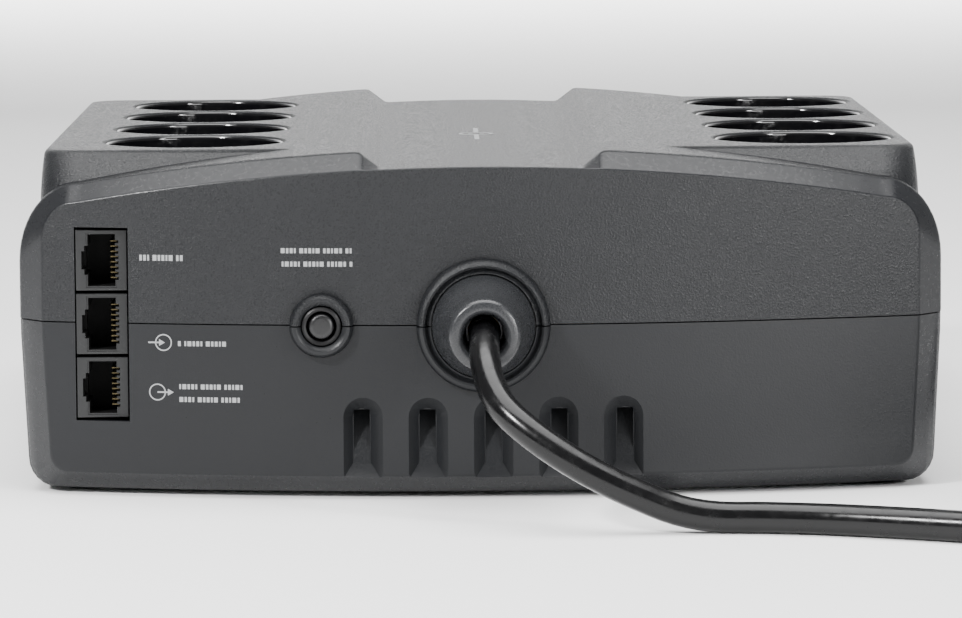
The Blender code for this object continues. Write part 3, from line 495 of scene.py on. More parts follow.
def smooth_route(points, spacing):
    """Points about this far apart on a smooth curve through the route's own points."""
    route = [Vector(p) for p in points]
    route = [2 * route[0] - route[1], *route, 2 * route[-1] - route[-2]]
    fine = []
    for before, start, end, after in zip(route, route[1:], route[2:], route[3:]):
        pieces = max(1, round((end - start).length / spacing))
        for step in range(pieces):
            t = step / pieces
            bend_out = (2 * before - 5 * start + 4 * end - after) * t**2
            bend_back = (3 * start - before - 3 * end + after) * t**3
            fine.append(0.5 * (2 * start + (end - before) * t + bend_out + bend_back))
    return [*fine, route[-2]]


coil = [coil_point(step / TURN_POINTS) for step in range(int(TURNS * TURN_POINTS) + 1)]
cord_path = smooth_route([*LEAD_ROUTE, *coil, *TAIL_ROUTE], 3.0)
curve = bpy.data.curves.new("mains_lead", "CURVE")
curve.dimensions = "3D"
curve.bevel_depth = CORD_R * 0.001
curve.bevel_resolution = 8
curve.use_fill_caps = True
spline = curve.splines.new("POLY")
spline.points.add(len(cord_path) - 1)
for point, co in zip(spline.points, cord_path):
    point.co = (*(co * 0.001), 1.0)
spline.use_smooth = True
curve.materials.append(LEAD)
mains_lead = bpy.data.objects.new("mains_lead", curve)
bpy.context.scene.collection.objects.link(mains_lead)
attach(mains_lead, "case")
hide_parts("power_cord", "cord_coil", "cord_tail")


def make_tie():
    """A vinyl strap round the coil, with rounded corners."""
    bm = bmesh.new()
    y0, y1 = COIL_Y + 30.8, COIL_Y + 54.7
    block(bm, (COIL_X - 6, y0 - 1.0, 0.05), (COIL_X + 6, y1 + 1.0, 17.7), 0.9, 3)
    strap = shape(bm, "coil_tie", [TIE])
    hole = bmesh.new()
    block(hole, (COIL_X - 12, y0, 1.05), (COIL_X + 12, y1, 16.7), 0.0)
    carve(strap, [("DIFFERENCE", shape(hole, "tie_hole"))])
    return dress(strap, stands_for=["cord_tie"])


def make_plug():
    """An overmoulded earthed plug: ribbed boot, round body with side grooves, two pins."""
    profile = [(0.0, 58.0), (17.2, 58.0), (18.1, 57.7), (18.4, 56.8), (18.4, 44.0), (17.0, 40.0)]
    profile += [(14.0, 30.0), (10.6, 24.4), (8.4, 21.6), (6.2, 20.2)]
    for rib in range(6):
        s = 18.0 - rib * 2.9
        r = 5.9 - rib * 0.16
        profile += [(r, s), (r, s - 1.5), (r - 0.8, s - 1.7), (r - 0.8, s - 2.7)]
    profile += [(4.6, 0.4), (4.2, 0.0), (0.0, 0.0)]
    at = Matrix.Translation(mm(*PLUG_END)) @ Matrix.Rotation(PLUG_TILT - math.radians(90), 4, "X")
    body = shape(spun(bmesh.new(), profile, 72, at), "plug_body", [PLUG])
    grooves = bmesh.new()
    for side in (-1, 1):
        block(grooves, (-2.7, side * 16.6 - 2.4, 36.0), (2.7, side * 19.0 + 2.4, 60.0), 0.0)
    for x in (-9.5, 9.5):
        bmesh.ops.create_cone(
            grooves,
            cap_ends=True,
            segments=40,
            radius1=0.0032,
            radius2=0.0032,
            depth=0.002,
            matrix=Matrix.Translation(mm(x, 0, 58.4)),
        )
    bmesh.ops.transform(grooves, matrix=at, verts=grooves.verts)
    carve(body, [("DIFFERENCE", shape(grooves, "plug_grooves"))])
    dress(body, stands_for=["plug"])
    pins = bmesh.new()
    for x in (-9.5, 9.5):
        pin = [(0.0, 77.0), (1.3, 76.8), (2.1, 75.9), (2.4, 74.6), (2.4, 57.0), (0.0, 57.0)]
        merge(pins, spun(bmesh.new(), pin, 32, at @ Matrix.Translation(mm(x, 0, 0))))
    prongs = shape(pins, "plug_pins", [NICKEL])
    dress(prongs)
    clips = bmesh.new()
    for side in (-1, 1):
        block(clips, (-2.0, side * 16.3 - 0.35, 41.0), (2.0, side * 16.3 + 0.35, 57.6), 0.25)
    bmesh.ops.transform(clips, matrix=at, verts=clips.verts)
    dress(shape(clips, "plug_earth_clips", [NICKEL]))
    return body, prongs, bpy.data.objects["plug_earth_clips"]


coil_tie = make_tie()
plug_pieces = make_plug()


# ---------------------------------------------------------------- shells

FOOT = PART_Z - 3.0
ARCH_XS = (91.0, 85.0, 80.0, 74.0, 68.0, 62.0, 56.0, 50.0, 45.0, 40.0, 35.0)


def cover_outline(y, side, corner, rise, fall=1.0, wall=0.0):
    """The cover across its width at one depth: shoulder, arched top and sunk middle strip."""
    corner_x, corner_z = corner
    top = arch(corner_x) + rise
    half = [(side, corner_z - 7.0), (side, corner_z)]
    for step in range(1, 13):
        angle = math.radians(7.5 * step)
        x = corner_x + (side - corner_x) * math.cos(angle)
        half.append((x, corner_z + (top - corner_z) * math.sin(angle)))
    half += [(x, arch(x) + rise) for x in ARCH_XS]
    for x, share in ((30.2, 1.0), (29.2, 0.95), (28.5, 0.84), (24.8, 0.1), (24.0, 0.02), (23.0, 0.0)):
        half.append((x + wall / 3, arch(x) + rise * share))
    half += [(14.0, arch(14.0)), (6.0, arch(6.0))]
    lowered = [(x, PART_Z + (z - PART_Z) * fall - wall) for x, z in half]
    right_side = [(side, FOOT - wall), *lowered]
    middle = [(0.0, PART_Z + (arch(0.0) - PART_Z) * fall - wall)]
    left_side = [(-x, z) for x, z in reversed(right_side)]
    return [(x, y, z) for x, z in [*right_side, *middle, *left_side]]


def cover_solid(name, wall, looks=()):
    inset = HALF_WIDTH - wall
    loops = [
        cover_outline(REAR + wall, inset - RIDGE, (98.0 - wall, 62.0), 0.0, wall=wall),
        cover_outline(REAR + BAND_RUN + wall, inset, (97.0, 56.0), WING_RISE, wall=wall),
        cover_outline(FLAT_END - wall / 2, inset, (97.0, 56.0), WING_RISE, wall=wall),
        cover_outline(FRONT - NOSE_RUN - wall, inset, (97.0, 56.0), WING_RISE, NOSE_FALL, wall),
        cover_outline(FRONT - wall, inset - RIDGE, (97.0, 56.0), 1.0, FRONT_FALL, wall),
    ]
    bm, rings = skin(loops)
    if not wall:
        for face in bm.faces:
            middle = face.calc_center_median() * 1000
            near_rear = REAR + 0.1 < middle.y < REAR + BAND_RUN
            face.material_index = 1 if near_rear and abs(middle.x) > 23.0 else 0
        wings = [e for e in rings[1] if min(abs(v.co.x) for v in e.verts) > 0.0235]
        nose = rings[2]
        tip = rings[4]
        ridge = rings[0]
        soften(bm, wings, 0.9, 3)
        soften(bm, ridge, 0.45, 3)
        soften(bm, nose, 6.0, 4)
        soften(bm, rings[3], 4.0, 4)
        soften(bm, tip, 2.0, 3)
    slice_x(bm, -108.0, 108.0, 6.0 if wall else 4.0)
    bend(bm)
    return shape(bm, name, looks)


def block_plan(z, inner, rear, front, outer, radius):
    points = [(inner, rear), (outer - radius, rear)]
    for step in range(1, 9):
        angle = math.radians(-90 + 11.25 * step)
        points.append((outer - radius + radius * math.cos(angle), rear + radius + radius * math.sin(angle)))
    for step in range(9):
        angle = math.radians(11.25 * step)
        points.append((outer - radius + radius * math.cos(angle), front - radius + radius * math.sin(angle)))
    points.append((inner, front))
    return [(x, y, z) for x, y in points]


def socket_block(name, side, hollow):
    """A raised block for one column of wells: sloping ends, a big round at the outer corners."""
    if hollow:
        loops = [block_plan(z, 36.0, -119.6, 73.9, 104.9, 8.0) for z in (58.0, BLOCK_Z - 2.4)]
    else:
        loops = [
            block_plan(64.0, 34.0, -133.6, 84.4, BLOCK_SIDE, 10.0),
            block_plan(74.0, 34.0, -132.4, 83.2, BLOCK_SIDE, 10.0),
            block_plan(BLOCK_Z, 34.0, -123.1, 74.9, BLOCK_SIDE - 0.6, 9.0),
        ]
    bm, rings = skin(loops)
    if not hollow:
        soften(bm, rings[1], 5.0, 5)
        top = [e for e in bm.edges if all(v.co.z > BLOCK_Z * 0.001 - 1e-6 for v in e.verts)]
        soften(bm, top, 1.3, 4)
    if side < 0:
        bmesh.ops.scale(bm, vec=(-1, 1, 1), verts=bm.verts)
    bmesh.ops.recalc_face_normals(bm, faces=bm.faces)
    return shape(bm, name)


def rods(name, places, profile, matrix=None, steps=40):
    """Round cutters: one profile of (radius, height) spun at each place (x, y, z)."""
    bm = bmesh.new()
    for place in places:
        half_step = Matrix.Rotation(math.pi / steps, 4, "Z")
        at = Matrix.Translation(mm(*place)) @ (matrix or Matrix.Identity(4)) @ half_step
        merge(bm, spun(bmesh.new(), profile, steps, at))
    return shape(bm, name)


def plain_box(name, corners):
    bm = bmesh.new()
    for low, high in corners:
        block(bm, low, high)
    return shape(bm, name)


# The lead's collar: a rounded outer rim, a shallow groove and a thin inner lip.
COLLAR = [
    (12.6, -2.0), (16.0, -2.0), (16.0, 1.5), (15.75, 2.6), (15.2, 3.4), (14.5, 3.75), (14.0, 3.6),
    (13.7, 2.8), (13.4, 2.5), (13.1, 2.7), (12.9, 2.9), (12.6, 2.9),
][::-1]
BREAKER_COLLAR = [
    (4.95, -2.0), (7.65, -2.0), (7.65, 1.6), (7.4, 2.6), (6.8, 3.2), (6.1, 3.3), (5.5, 3.0), (4.95, 2.4),
][::-1]


def panel_cutters():
    bore = [(0, 12), (13.2, 12), (13.2, -9), (0, -9)]
    lead = rods("lead_bore", [(LEAD_X, REAR, PART_Z)], bore, TO_REAR, 64)
    at = (BREAKER_X, REAR, PART_Z)
    breaker = rods("breaker_bore", [at], [(0, 12), (5.5, 12), (5.5, -9), (0, -9)], TO_REAR, 48)
    jacks = plain_box("jack_hole", [((-98.0, REAR - 5, 18.3), (-84.9, REAR + 28, 65.1))])
    return [("DIFFERENCE", lead), ("DIFFERENCE", breaker), ("DIFFERENCE", jacks)]


def panel_collars():
    lead = rods("lead_collar", [(LEAD_X, REAR, PART_Z)], COLLAR, TO_REAR, 96)
    at = (BREAKER_X, rear_at(BREAKER_X), PART_Z)
    breaker = rods("breaker_collar", [at], BREAKER_COLLAR, TO_REAR, 64)
    return [("UNION", lead), ("UNION", breaker)]


def make_cover():
    cover = cover_solid("cover_shell", 0.0, [SHELL, BAND])
    steps = [("UNION", socket_block(f"block_{s}", s, False)) for s in (-1, 1)]
    steps.append(("DIFFERENCE", cover_solid("cover_hollow", 2.4)))
    steps += [("DIFFERENCE", socket_block(f"block_hollow_{s}", s, True)) for s in (-1, 1)]
    steps += panel_cutters() + panel_collars()
    well = [(0, 90), (23.2, 90), (23.2, BLOCK_Z + 0.1), (22.9, BLOCK_Z - 0.15), (22.6, BLOCK_Z - 0.5)]
    well += [(22.5, BLOCK_Z - 0.9), (22.5, 70), (0, 70)]
    steps.append(("DIFFERENCE", rods("wells", [(x, y, 0) for x, y in SOCKETS], well, steps=72)))
    tilt = Matrix.Rotation(-SLOPE, 4, "X")
    button = [(0, 9), (8.4, 9), (8.4, 0.3), (7.9, -0.15), (7.5, -0.7), (7.5, -9), (0, -9)]
    steps.append(("DIFFERENCE", rods("button_hole", [on_slope(BUTTON_Y)], button, tilt, 48)))
    _, y, z = on_slope(LIGHT_Y)
    lens_hole = [(0, 9), (2.3, 9), (2.3, -9), (0, -9)]
    places = [(x, y, z) for x in LIGHT_XS]
    steps.append(("DIFFERENCE", rods("lens_holes", places, lens_hole, tilt, 24)))
    below = plain_box("below", [((-150, -200, -20), (150, 200, PART_Z + SEAM))])
    steps.append(("DIFFERENCE", below))
    carve(cover, steps)
    return dress(cover, stands_for=["top_cover"])


def base_outline(y, side, low, edge, top):
    half = [(side, top), (side - 0.1, PART_Z - 4.0), (side - 1.6, low + edge)]
    for step in range(1, 7):
        angle = math.radians(15 * step)
        half.append((side - 1.6 - edge * (1 - math.cos(angle)), low + edge * (1 - math.sin(angle))))
    half += [(60.0, low), (20.0, low)]
    left_side = [(-x, z) for x, z in reversed(half)]
    return [(x, y, z) for x, z in [*half, *left_side]]


def base_solid(name, hollow, looks=()):
    top = PART_Z + 3.0
    if hollow:
        loops = [
            base_outline(REAR + 2.4, 103.6, BASE_Z + 6.0, 4.0, top + 3),
            base_outline(REAR + BAND_RUN + 2.0, 109.6, BASE_Z + 3.4, 5.0, top + 3),
            base_outline(FRONT - BAND_RUN - 2.0, 109.6, BASE_Z + 3.4, 5.0, top + 3),
            base_outline(FRONT - 2.4, 103.6, BASE_Z + 6.0, 4.0, top + 3),
        ]
    else:
        loops = [
            base_outline(REAR, HALF_WIDTH - RIDGE, BASE_Z + 4.9, 4.0, top),
            base_outline(REAR + 5.2, HALF_WIDTH - 1.0, BASE_Z + 0.5, 7.0, top),
            base_outline(REAR + BAND_RUN + 1.5, HALF_WIDTH, BASE_Z, 7.0, top),
            base_outline(FRONT - BAND_RUN - 1.5, HALF_WIDTH, BASE_Z, 7.0, top),
            base_outline(FRONT - 5.2, HALF_WIDTH - 1.0, BASE_Z + 0.5, 7.0, top),
            base_outline(FRONT, HALF_WIDTH - RIDGE, BASE_Z + 4.9, 4.0, top),
        ]
    bm, rings = skin(loops)
    if not hollow:
        for face in bm.faces:
            y = face.calc_center_median().y * 1000
            face.material_index = 1 if REAR + 0.1 < y < REAR + 5.0 else 0
        soften(bm, rings[0], 0.5, 3)
        soften(bm, rings[-1], 0.8, 3)
    slice_x(bm, -108.0, 108.0, 4.0)
    bend(bm)
    return shape(bm, name, looks)


def vent_niches():
    """Louvred niches: a round-topped funnel, and a channel whose floor runs out at the bottom."""
    steps = []
    for x in VENTS:
        y = rear_at(x)
        funnel = []
        for half, top, low, depth in ((5.9, 26.0, 2.8, -1.2), (2.15, 21.9, 8.8, 2.7)):
            points = [(x + half, y + depth, low)]
            for step in range(13):
                a = math.radians(15 * step)
                points.append((x + half * math.cos(a), y + depth, top - half + half * math.sin(a)))
            funnel.append([*points, (x - half, y + depth, low)])
        steps.append(("DIFFERENCE", shape(skin(funnel)[0], "funnel")))
        # The channel's floor slopes from 8 mm deep at its top to the panel's face at its foot.
        low, high, top = 4.4, 8.0, 21.6
        sides = [
            [(x + s, y - 1.2, low), (x + s, y + high, top), (x + s, y - 1.2, top)] for s in (-1.93, 1.93)
        ]
        steps.append(("DIFFERENCE", shape(skin(sides)[0], "channel")))
    return steps


def make_base():
    base = base_solid("base_tray", False, [BASE, BAND])
    steps = [("DIFFERENCE", base_solid("base_hollow", True))]
    louvres = []
    for x in VENTS:
        louvres.append(((x - 5.3, rear_at(x) + 1.2, 5.6), (x + 5.3, rear_at(x) + 9.6, 26.0)))
    steps.append(("UNION", plain_box("louvre_backs", louvres)))
    steps += panel_cutters() + panel_collars() + vent_niches()
    bosses = [(0, PART_Z + 2), (4.0, PART_Z + 2), (4.0, 3.2), (0, 3.2)]
    steps.append(("UNION", rods("bosses", SCREWS, bosses, steps=32)))
    counterbore = [(0, 60), (1.75, 60), (1.75, 5.0), (3.4, 5.0), (3.4, 1.5), (3.9, 1.0), (3.9, -2), (0, -2)]
    steps.append(("DIFFERENCE", rods("screw_bores", SCREWS, counterbore, steps=32)))
    pocket = [(0, 2.5), (6.3, 2.5), (6.3, -2), (0, -2)]
    steps.append(("DIFFERENCE", rods("foot_pockets", FEET, pocket, steps=40)))
    recess = ((-50.3, -46.3, -2.0), (60.3, 132.5, 2.9))
    hatch = ((-42.8, -38.8, -3.0), (52.8, 113.5, 8.0))
    steps.append(("DIFFERENCE", plain_box("door_recess", [recess])))
    steps.append(("DIFFERENCE", plain_box("hatch", [hatch])))
    above = plain_box("above", [((-150, -200, PART_Z - SEAM), (150, 200, 120))])
    steps.append(("DIFFERENCE", above))
    carve(base, steps)
    return dress(base, stands_for=["base_shell"])


make_cover()
make_base()


# ---------------------------------------------------------------- outlets


def make_outlets():
    """Glossy wells, each with two pin holes, two guides on its wall and two earth clip slots."""
    cup = [
        (0.0, 64.0), (19.6, 64.0), (20.5, 64.3), (20.9, 65.2), (21.2, 81.2), (21.4, 81.7), (21.7, 81.9),
        (22.0, 81.8), (22.2, 81.4), (22.2, 54.0), (20.5, 54.0), (20.5, 61.0), (0.0, 61.0),
    ]
    hole = [(0.0, 70.0), (2.9, 70.0), (2.9, 60.0), (0.0, 60.0)]
    for number, (x, y) in enumerate(SOCKETS):
        side = "left" if x < 0 else "right"
        name = f"socket_{side}_{number % 4 + 1}"
        at = Matrix.Translation(mm(x, y, 0))
        well = shape(spun(bmesh.new(), cup, 96, at), f"well_{side}_{number % 4 + 1}", [WELL])
        clips = []
        for middle in (y - 19.0, y + 19.0):
            clips.append(((x - 2.6, middle - 0.9, 58.0), (x + 2.6, middle + 0.9, 67.0)))
        steps = [
            ("DIFFERENCE", rods("pin_holes", [(x - 9.5, y, 0), (x + 9.5, y, 0)], hole, steps=28)),
            ("DIFFERENCE", plain_box("clip_slots", clips)),
        ]
        # Two flat guides stand out of the wall, at the ends of the line through the pins.
        bm = bmesh.new()
        for middle in (x - 20.1, x + 20.1):
            block(bm, (middle - 0.9, y - 2.6, 63.0), (middle + 0.9, y + 2.6, 79.5), 0.5, 2)
        steps.append(("UNION", shape(bm, "guides")))
        carve(well, steps)
        dress(well, stands_for=[name])


# ---------------------------------------------------------------- rear panel pieces


def make_jacks():
    """Modular jacks on their sides, with a stepped latch notch and eight spring contacts."""
    front = rear_at(JACK_X - JACK_HALF)
    for number, bottom in enumerate(JACK_BOTTOMS):
        middle = bottom + JACK_HEIGHT / 2
        name = f"data_jack_{number + 1}"
        bm = bmesh.new()
        x0, y0 = JACK_X, front
        low = (x0 - JACK_HALF, y0, bottom)
        block(bm, low, (x0 + JACK_HALF, y0 + JACK_DEPTH, bottom + JACK_HEIGHT), 0.25, 2)
        jack = shape(bm, f"modular_jack_{number + 1}", [JACK])
        # The mouth, and two steps of the latch notch beside it.
        holes = [
            ((x0 - 3.3, y0 - 2.0, middle - 6.3), (x0 + 3.35, y0 + 11.8, middle + 6.3)),
            ((x0 - 4.1, y0 - 2.0, middle - 3.5), (x0 - 3.0, y0 + 11.8, middle + 3.5)),
            ((x0 - 4.8, y0 - 2.0, middle - 2.2), (x0 - 3.8, y0 + 8.0, middle + 2.2)),
        ]
        # One slot in the wall for each contact.
        slits = []
        for pin in range(8):
            z = middle + (pin - 3.5) * CONTACT_PITCH
            slits.append(((x0 + 3.2, y0 - 2.0, z - 0.35), (x0 + 4.15, y0 + 9.0, z + 0.35)))
        rim = ((x0 - 3.7, y0 - 2.0, middle - 6.7), (x0 + 3.75, y0 + 0.35, middle + 6.7))
        steps = [("DIFFERENCE", plain_box("jack_cut", [corners])) for corners in (*holes, rim)]
        steps.append(("DIFFERENCE", plain_box("slits", slits)))
        carve(jack, steps)
        # The faces deep inside the mouth take the darker nylon: painted shade.
        jack.data.materials.append(MOUTH_PAINTED_SHADE)
        for face in jack.data.polygons:
            deep = face.center.y * 1000 > front + 0.7
            inside = abs(face.center.x * 1000 - x0) < 5.0 and abs(face.center.z * 1000 - middle) < 6.8
            face.material_index = 1 if deep and inside and face.center.y * 1000 < front + 14.0 else 0
        dress(jack, stands_for=[name])
        wires = bmesh.new()
        for pin in range(8):
            z = middle + (pin - 3.5) * CONTACT_PITCH
            low = (x0 + 2.0, y0 + 3.0, z - 0.2)
            block(wires, low, (x0 + 2.4, y0 + 11.9, z + 0.2), 0.1, 1)
            block(wires, (x0 + 2.0, y0 + 2.7, z - 0.2), (x0 + 3.9, y0 + 3.1, z + 0.2), 0.1, 1)
        # The contacts' darker gold is painted shade.
        dress(shape(wires, f"jack_contacts_{number + 1}", [CONTACT]))


def make_breaker():
    body = bmesh.new()
    low = (BREAKER_X - 6.5, REAR + 6.1, PART_Z - 6.5)
    high = (BREAKER_X + 6.5, REAR + 32.6, PART_Z + 6.5)
    block(body, low, high, 0.5)
    case = shape(body, "breaker_case", [BREAKER])
    at = (BREAKER_X, REAR, PART_Z)
    snout = [(4.75, -9.0), (4.75, 0.0), (4.6, 0.5), (4.2, 0.75), (3.7, 0.6), (3.5, 0.2), (3.5, -9.0)]
    bore = [(0, 4), (3.5, 4), (3.5, -24), (0, -24)]
    steps = [
        ("UNION", rods("snout", [at], snout, TO_REAR, 48)),
        ("DIFFERENCE", rods("bore", [at], bore, TO_REAR, 48)),
    ]
    carve(case, steps)
    dress(case, stands_for=["breaker_body"])
    button = [
        (0.0, 1.25), (1.8, 1.3), (2.5, 1.25), (2.85, 1.0), (3.05, 0.5), (3.05, -16.4), (0.0, -16.4),
    ]
    knob = rods("reset_button", [at], button, TO_REAR, 48)
    knob.data.materials.append(KNOB)
    dress(knob, "breaker_button", ["breaker_button"])


def make_grommet():
    """A domed grommet with a softly stepped neck and a thin rounded lip at its mouth."""
    profile = [
        (4.3, 14.0), (4.5, 20.0), (5.2, 24.2), (5.7, 24.8), (6.4, 24.9), (7.6, 24.85), (8.3, 24.4),
        (8.65, 23.4), (8.8, 21.5), (9.2, 18.0), (9.8, 14.5), (10.6, 11.0), (11.3, 8.0), (11.8, 6.0),
        (12.1, 4.6), (12.3, 3.2), (12.3, -3.4), (14.5, -3.4), (14.5, -5.4), (9.0, -5.4), (9.0, -8.0),
        (3.95, -8.0), (3.95, 14.0),
    ]
    relief = rods("grommet", [(LEAD_X, REAR, PART_Z)], profile, TO_REAR, 96)
    relief.data.materials.append(GROMMET)
    dress(relief, stands_for=["strain_relief"], angle=50)


# ---------------------------------------------------------------- printed marks

INK_PROUD = 0.05  # the ink is drawn thicker than it is, so that it clears the panel
STRIP_MARK_Y = -41.0


def ring_mark(bm, x, z, radius, stroke):
    inner, outer = radius - stroke / 2, radius + stroke / 2
    profile = [(inner, -INK_PROUD), (outer, -INK_PROUD), (outer, INK_PROUD), (inner, INK_PROUD)]
    merge(bm, spun(bmesh.new(), profile, 40, Matrix.Translation(mm(x, 0, z)) @ TO_REAR))


def arrow_mark(bm, x0, x1, z, stroke):
    """A horizontal arrow whose head is at x1."""
    way = 1 if x1 > x0 else -1
    low, high = sorted((x0, x1 - way * 0.6))
    block(bm, (low, -INK_PROUD, z - stroke / 2), (high, INK_PROUD, z + stroke / 2))
    head = Matrix.Translation(mm(x1 - way * 0.9, 0, z)) @ TO_REAR
    bmesh.ops.create_cone(
        bm,
        cap_ends=True,
        segments=3,
        radius1=0.00095,
        radius2=0.00095,
        depth=2 * INK_PROUD * 0.001,
        matrix=head @ Matrix.Rotation(math.radians(90 if way < 0 else -90), 4, "Z"),
    )


def rows(bm, x, z, width, height, count):
    """A row of dashes: a plain stand-in for a printed legend. The count varies its pattern."""
    at = x
    step = 0
    while at < x + width - 0.4:
        run = min((0.7, 0.45, 0.95, 0.6)[(step + count) % 4], x + width - at)
        block(bm, (at, -INK_PROUD, z), (at + run, INK_PROUD, z + height))
        at += run + (0.3 if (step + count) % 5 else 0.85)
        step += 1


# Each row's left end, foot, width and height, and where its pattern starts.
LEGENDS = (
    (-73.0, 36.8, 11.9, 1.2, 0),
    (-72.8, 26.4, 15.3, 1.2, 1),
    (-72.8, 23.3, 14.6, 1.2, 2),
    (-82.1, 57.3, 11.0, 1.4, 3),
    (-48.0, 59.4, 17.1, 1.2, 2),
    (-47.8, 56.2, 16.9, 1.2, 1),
)


def make_marks():
    bm = bmesh.new()
    # Signal in and signal out, beside the lower two jacks.
    ring_mark(bm, -76.5, 37.6, 1.9, 0.3)
    arrow_mark(bm, -80.2, -76.2, 37.6, 0.36)
    ring_mark(bm, -78.1, 25.6, 1.9, 0.3)
    arrow_mark(bm, -78.1, -74.2, 25.6, 0.36)
    for x, z, width, height, count in LEGENDS:
        rows(bm, x, z, width, height, count)
    # The signs were drawn flat, so they are laid on the bowed panel here.
    for vert in bm.verts:
        vert.co.y = rear_at(vert.co.x * 1000) * 0.001 - vert.co.y
    bmesh.ops.recalc_face_normals(bm, faces=bm.faces)
    marks = shape(bm, "printed_marks", [INK])
    dress(marks, weighted=False)


def make_strip_mark():
    """A plain sign on the middle strip: a ring on a line, with two dots in the ring."""
    bm = bmesh.new()
    profile = [(3.7, -0.3), (4.5, -0.3), (4.5, 0.05), (3.7, 0.05)]
    merge(bm, spun(bmesh.new(), profile, 48, Matrix.Translation(mm(0, STRIP_MARK_Y, STRIP_Z))))
    for x in (-1.5, 1.5):
        bmesh.ops.create_cone(
            bm,
            cap_ends=True,
            segments=20,
            radius1=0.0006,
            radius2=0.0006,
            depth=0.00035,
            matrix=Matrix.Translation(mm(x, STRIP_MARK_Y, STRIP_Z - 0.125)),
        )
    for low_y, high_y in ((-62.0, -45.2), (-36.8, -20.0)):
        block(bm, (-0.6, low_y, STRIP_Z - 0.3), (0.6, high_y, STRIP_Z + 0.04))
    dress(shape(bm, "strip_mark", [INK]), weighted=False)


# ---------------------------------------------------------------- front controls


def make_controls():
    tilt = Matrix.Rotation(-SLOPE, 4, "X")
    cap = [
        (0.0, 0.55), (4.5, 0.62), (5.9, 0.75), (6.6, 0.6), (7.0, 0.2), (7.2, -0.4), (7.2, -3.2),
        (8.8, -3.2), (8.8, -4.4), (2.5, -4.4), (2.5, -6.6), (0.0, -6.6),
    ]
    button = rods("power_cap", [on_slope(BUTTON_Y)], cap, tilt, 72)
    button.data.materials.append(KNOB)
    dress(button, "power_button", ["power_button"])
    mark = bmesh.new()
    sign = [(2.3, 0.45), (2.9, 0.45), (2.9, 0.68), (2.3, 0.68)]
    at = Matrix.Translation(mm(*on_slope(BUTTON_Y))) @ tilt
    merge(mark, spun(bmesh.new(), sign, 40, at))
    line = bmesh.new()
    block(line, (-0.32, 0.6, 0.45), (0.32, 4.0, 0.7))
    bmesh.ops.transform(line, matrix=at, verts=line.verts)
    merge(mark, line)
    dress(shape(mark, "power_sign", [INK]), "power_button", weighted=False)
    _, y, z = on_slope(LIGHT_Y)
    dome = [
        (0.0, 0.42), (0.8, 0.38), (1.4, 0.2), (1.8, -0.05), (2.0, -0.4), (2.0, -7.8), (0.0, -7.8),
    ]
    for number, x in enumerate(LIGHT_XS):
        light = rods(f"light_{number + 1}", [(x, y, z)], dome, tilt, 32)
        light.data.materials.append(LENS)
        dress(light, stands_for=[f"indicator_{number + 1}"])


# ---------------------------------------------------------------- underside


def make_underside():
    foot = [
        (0.0, 2.2), (6.0, 2.2), (6.0, 0.7), (5.8, 0.3), (5.4, 0.05), (4.9, 0.0), (4.4, 0.1),
        (3.6, 0.35), (0.0, 0.35),
    ]
    for number, place in enumerate(FEET):
        pad = rods(f"rubber_pad_{number + 1}", [place], foot, None, 48)
        pad.data.materials.append(RUBBER)
        dress(pad, stands_for=[f"foot_{number + 1}"])
    bm = bmesh.new()
    block(bm, (-50.0, -46.0, BASE_Z), (60.0, 119.5, BASE_Z + 1.6), 0.4, 2)
    door = shape(bm, "battery_hatch", [BASE])
    ribs = [((-15.0, 88.0 + 3.2 * i, -1.0), (25.0, 89.6 + 3.2 * i, BASE_Z + 0.7)) for i in range(5)]
    carve(door, [("DIFFERENCE", plain_box("grip_grooves", ribs))])
    dress(door, "battery_door", ["battery_door"])


make_outlets()
make_jacks()
make_breaker()
make_grommet()
make_marks()
make_strip_mark()
make_controls()
make_underside()


# ---------------------------------------------------------------- pieces shown as the model has them

# Inner pieces keep their shape, and only their finish is set here.
INNER = {
    "earth_rail": BRASS,
    "live_rail": BRASS,
    "neutral_rail": BRASS,
    "transformer_core": CORE,
    "transformer_coil": TAPE,
    "transformer_bracket": ZINC,
    "heat_sink": FIN,
    "capacitor": SLEEVE,
    "relay": RELAY,
    "buzzer": RELAY,
    "main_board": BOARD,
    "data_board": BOARD,
    "display_board": BOARD,
    "battery_lead_red": RED_LEAD,
    "battery_lead_black": BLACK_LEAD,
    "battery": CELL,
    "case_screw": ZINC,
}
for node_name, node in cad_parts.items():
    look = next((made for start, made in INNER.items() if node_name.startswith(start)), RELAY)
    node.data.materials.clear()
    node.data.materials.append(look)


# ---------------------------------------------------------------- floor and light

FLOOR_END = 6000.0
FLOOR_HALF = 20000.0
CURVE_R = 3000.0
# Each lamp's name, place, what it points at, watts, and width and height in metres.
LAMPS = (
    ("overhead", (0.0, -150.0, 1700.0), (0.0, -50.0, 0.0), 66.0, 1.7, 1.7),
    ("backdrop", (0.0, 3000.0, 2600.0), (0.0, 7000.0, 0.0), 900.0, 5.0, 2.0),
    ("key", (-620.0, -760.0, 620.0), (-60.0, -120.0, 60.0), 14.0, 0.1, 0.1),
    ("fill", (820.0, -900.0, 460.0), (60.0, -120.0, 40.0), 6.0, 0.12, 0.2),
    ("side", (640.0, -1080.0, 230.0), (90.0, -150.0, 50.0), 6.0, 0.4, 0.3),
)


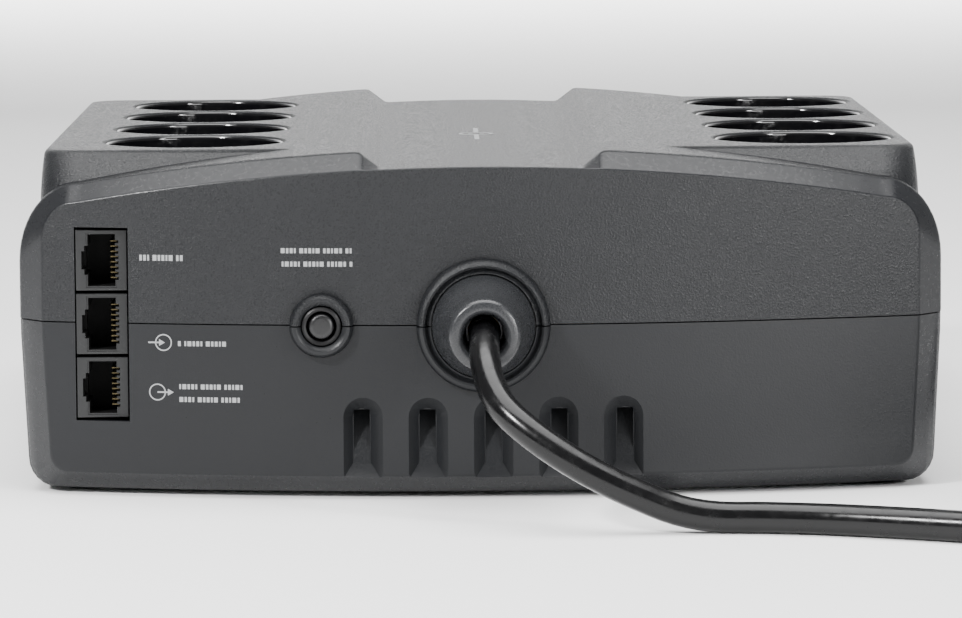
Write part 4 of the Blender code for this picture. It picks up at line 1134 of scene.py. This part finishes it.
def make_studio():
    """A pale sweep: a floor that curves up into a backdrop far behind."""
    bm = bmesh.new()
    path = [(-30000.0, 0.0), (FLOOR_END, 0.0)]
    for step in range(1, 9):
        angle = math.radians(11.25 * step)
        path.append((FLOOR_END + CURVE_R * math.sin(angle), CURVE_R - CURVE_R * math.cos(angle)))
    path.append((FLOOR_END + CURVE_R, 20000.0))
    verts = [bm.verts.new(mm(-FLOOR_HALF, y, z)) for y, z in path]
    edges = [bm.edges.new(pair) for pair in zip(verts, verts[1:])]
    swept = bmesh.ops.extrude_edge_only(bm, edges=edges)
    moved = [v for v in swept["geom"] if isinstance(v, bmesh.types.BMVert)]
    bmesh.ops.translate(bm, vec=mm(2 * FLOOR_HALF, 0, 0), verts=moved)
    bmesh.ops.recalc_face_normals(bm, faces=bm.faces)
    sweep = shape(bm, "sweep", [paper()])
    sweep.data.shade_smooth()


def paper():
    made, tree, shader = blank("studio_paper")
    where = add(tree, "ShaderNodeTexCoord").outputs["Object"]
    cloud = add(tree, "ShaderNodeTexNoise", {"Vector": where, "Scale": per_mm(900.0), "Detail": 2.0})
    tone = add(
        tree,
        "ShaderNodeMix",
        {"Factor": cloud.outputs["Fac"], "A": srgb("#f4f4f4"), "B": srgb("#f9f9f9")},
        data_type="RGBA",
    )
    tree.links.new(tone.outputs[2], shader.inputs["Base Color"])
    shader.inputs["Roughness"].default_value = 0.9
    return made


def lamp(name, place, aim, power, size, height):
    light = bpy.data.lights.new(name, "AREA")
    light.shape = "RECTANGLE"
    light.size = size
    light.size_y = height
    light.energy = power
    made = bpy.data.objects.new(name, light)
    bpy.context.scene.collection.objects.link(made)
    made.location = mm(*place)
    made.rotation_euler = (mm(*aim) - mm(*place)).to_track_quat("-Z", "Y").to_euler()
    return made


make_studio()
world = bpy.data.worlds.new("soft_surround")
world.use_nodes = True
sky = world.node_tree.nodes["Background"]
sky.inputs["Color"].default_value = srgb("#ffffff")
sky.inputs["Strength"].default_value = 0.32
bpy.context.scene.world = world
for settings in LAMPS:
    lamp(*settings)
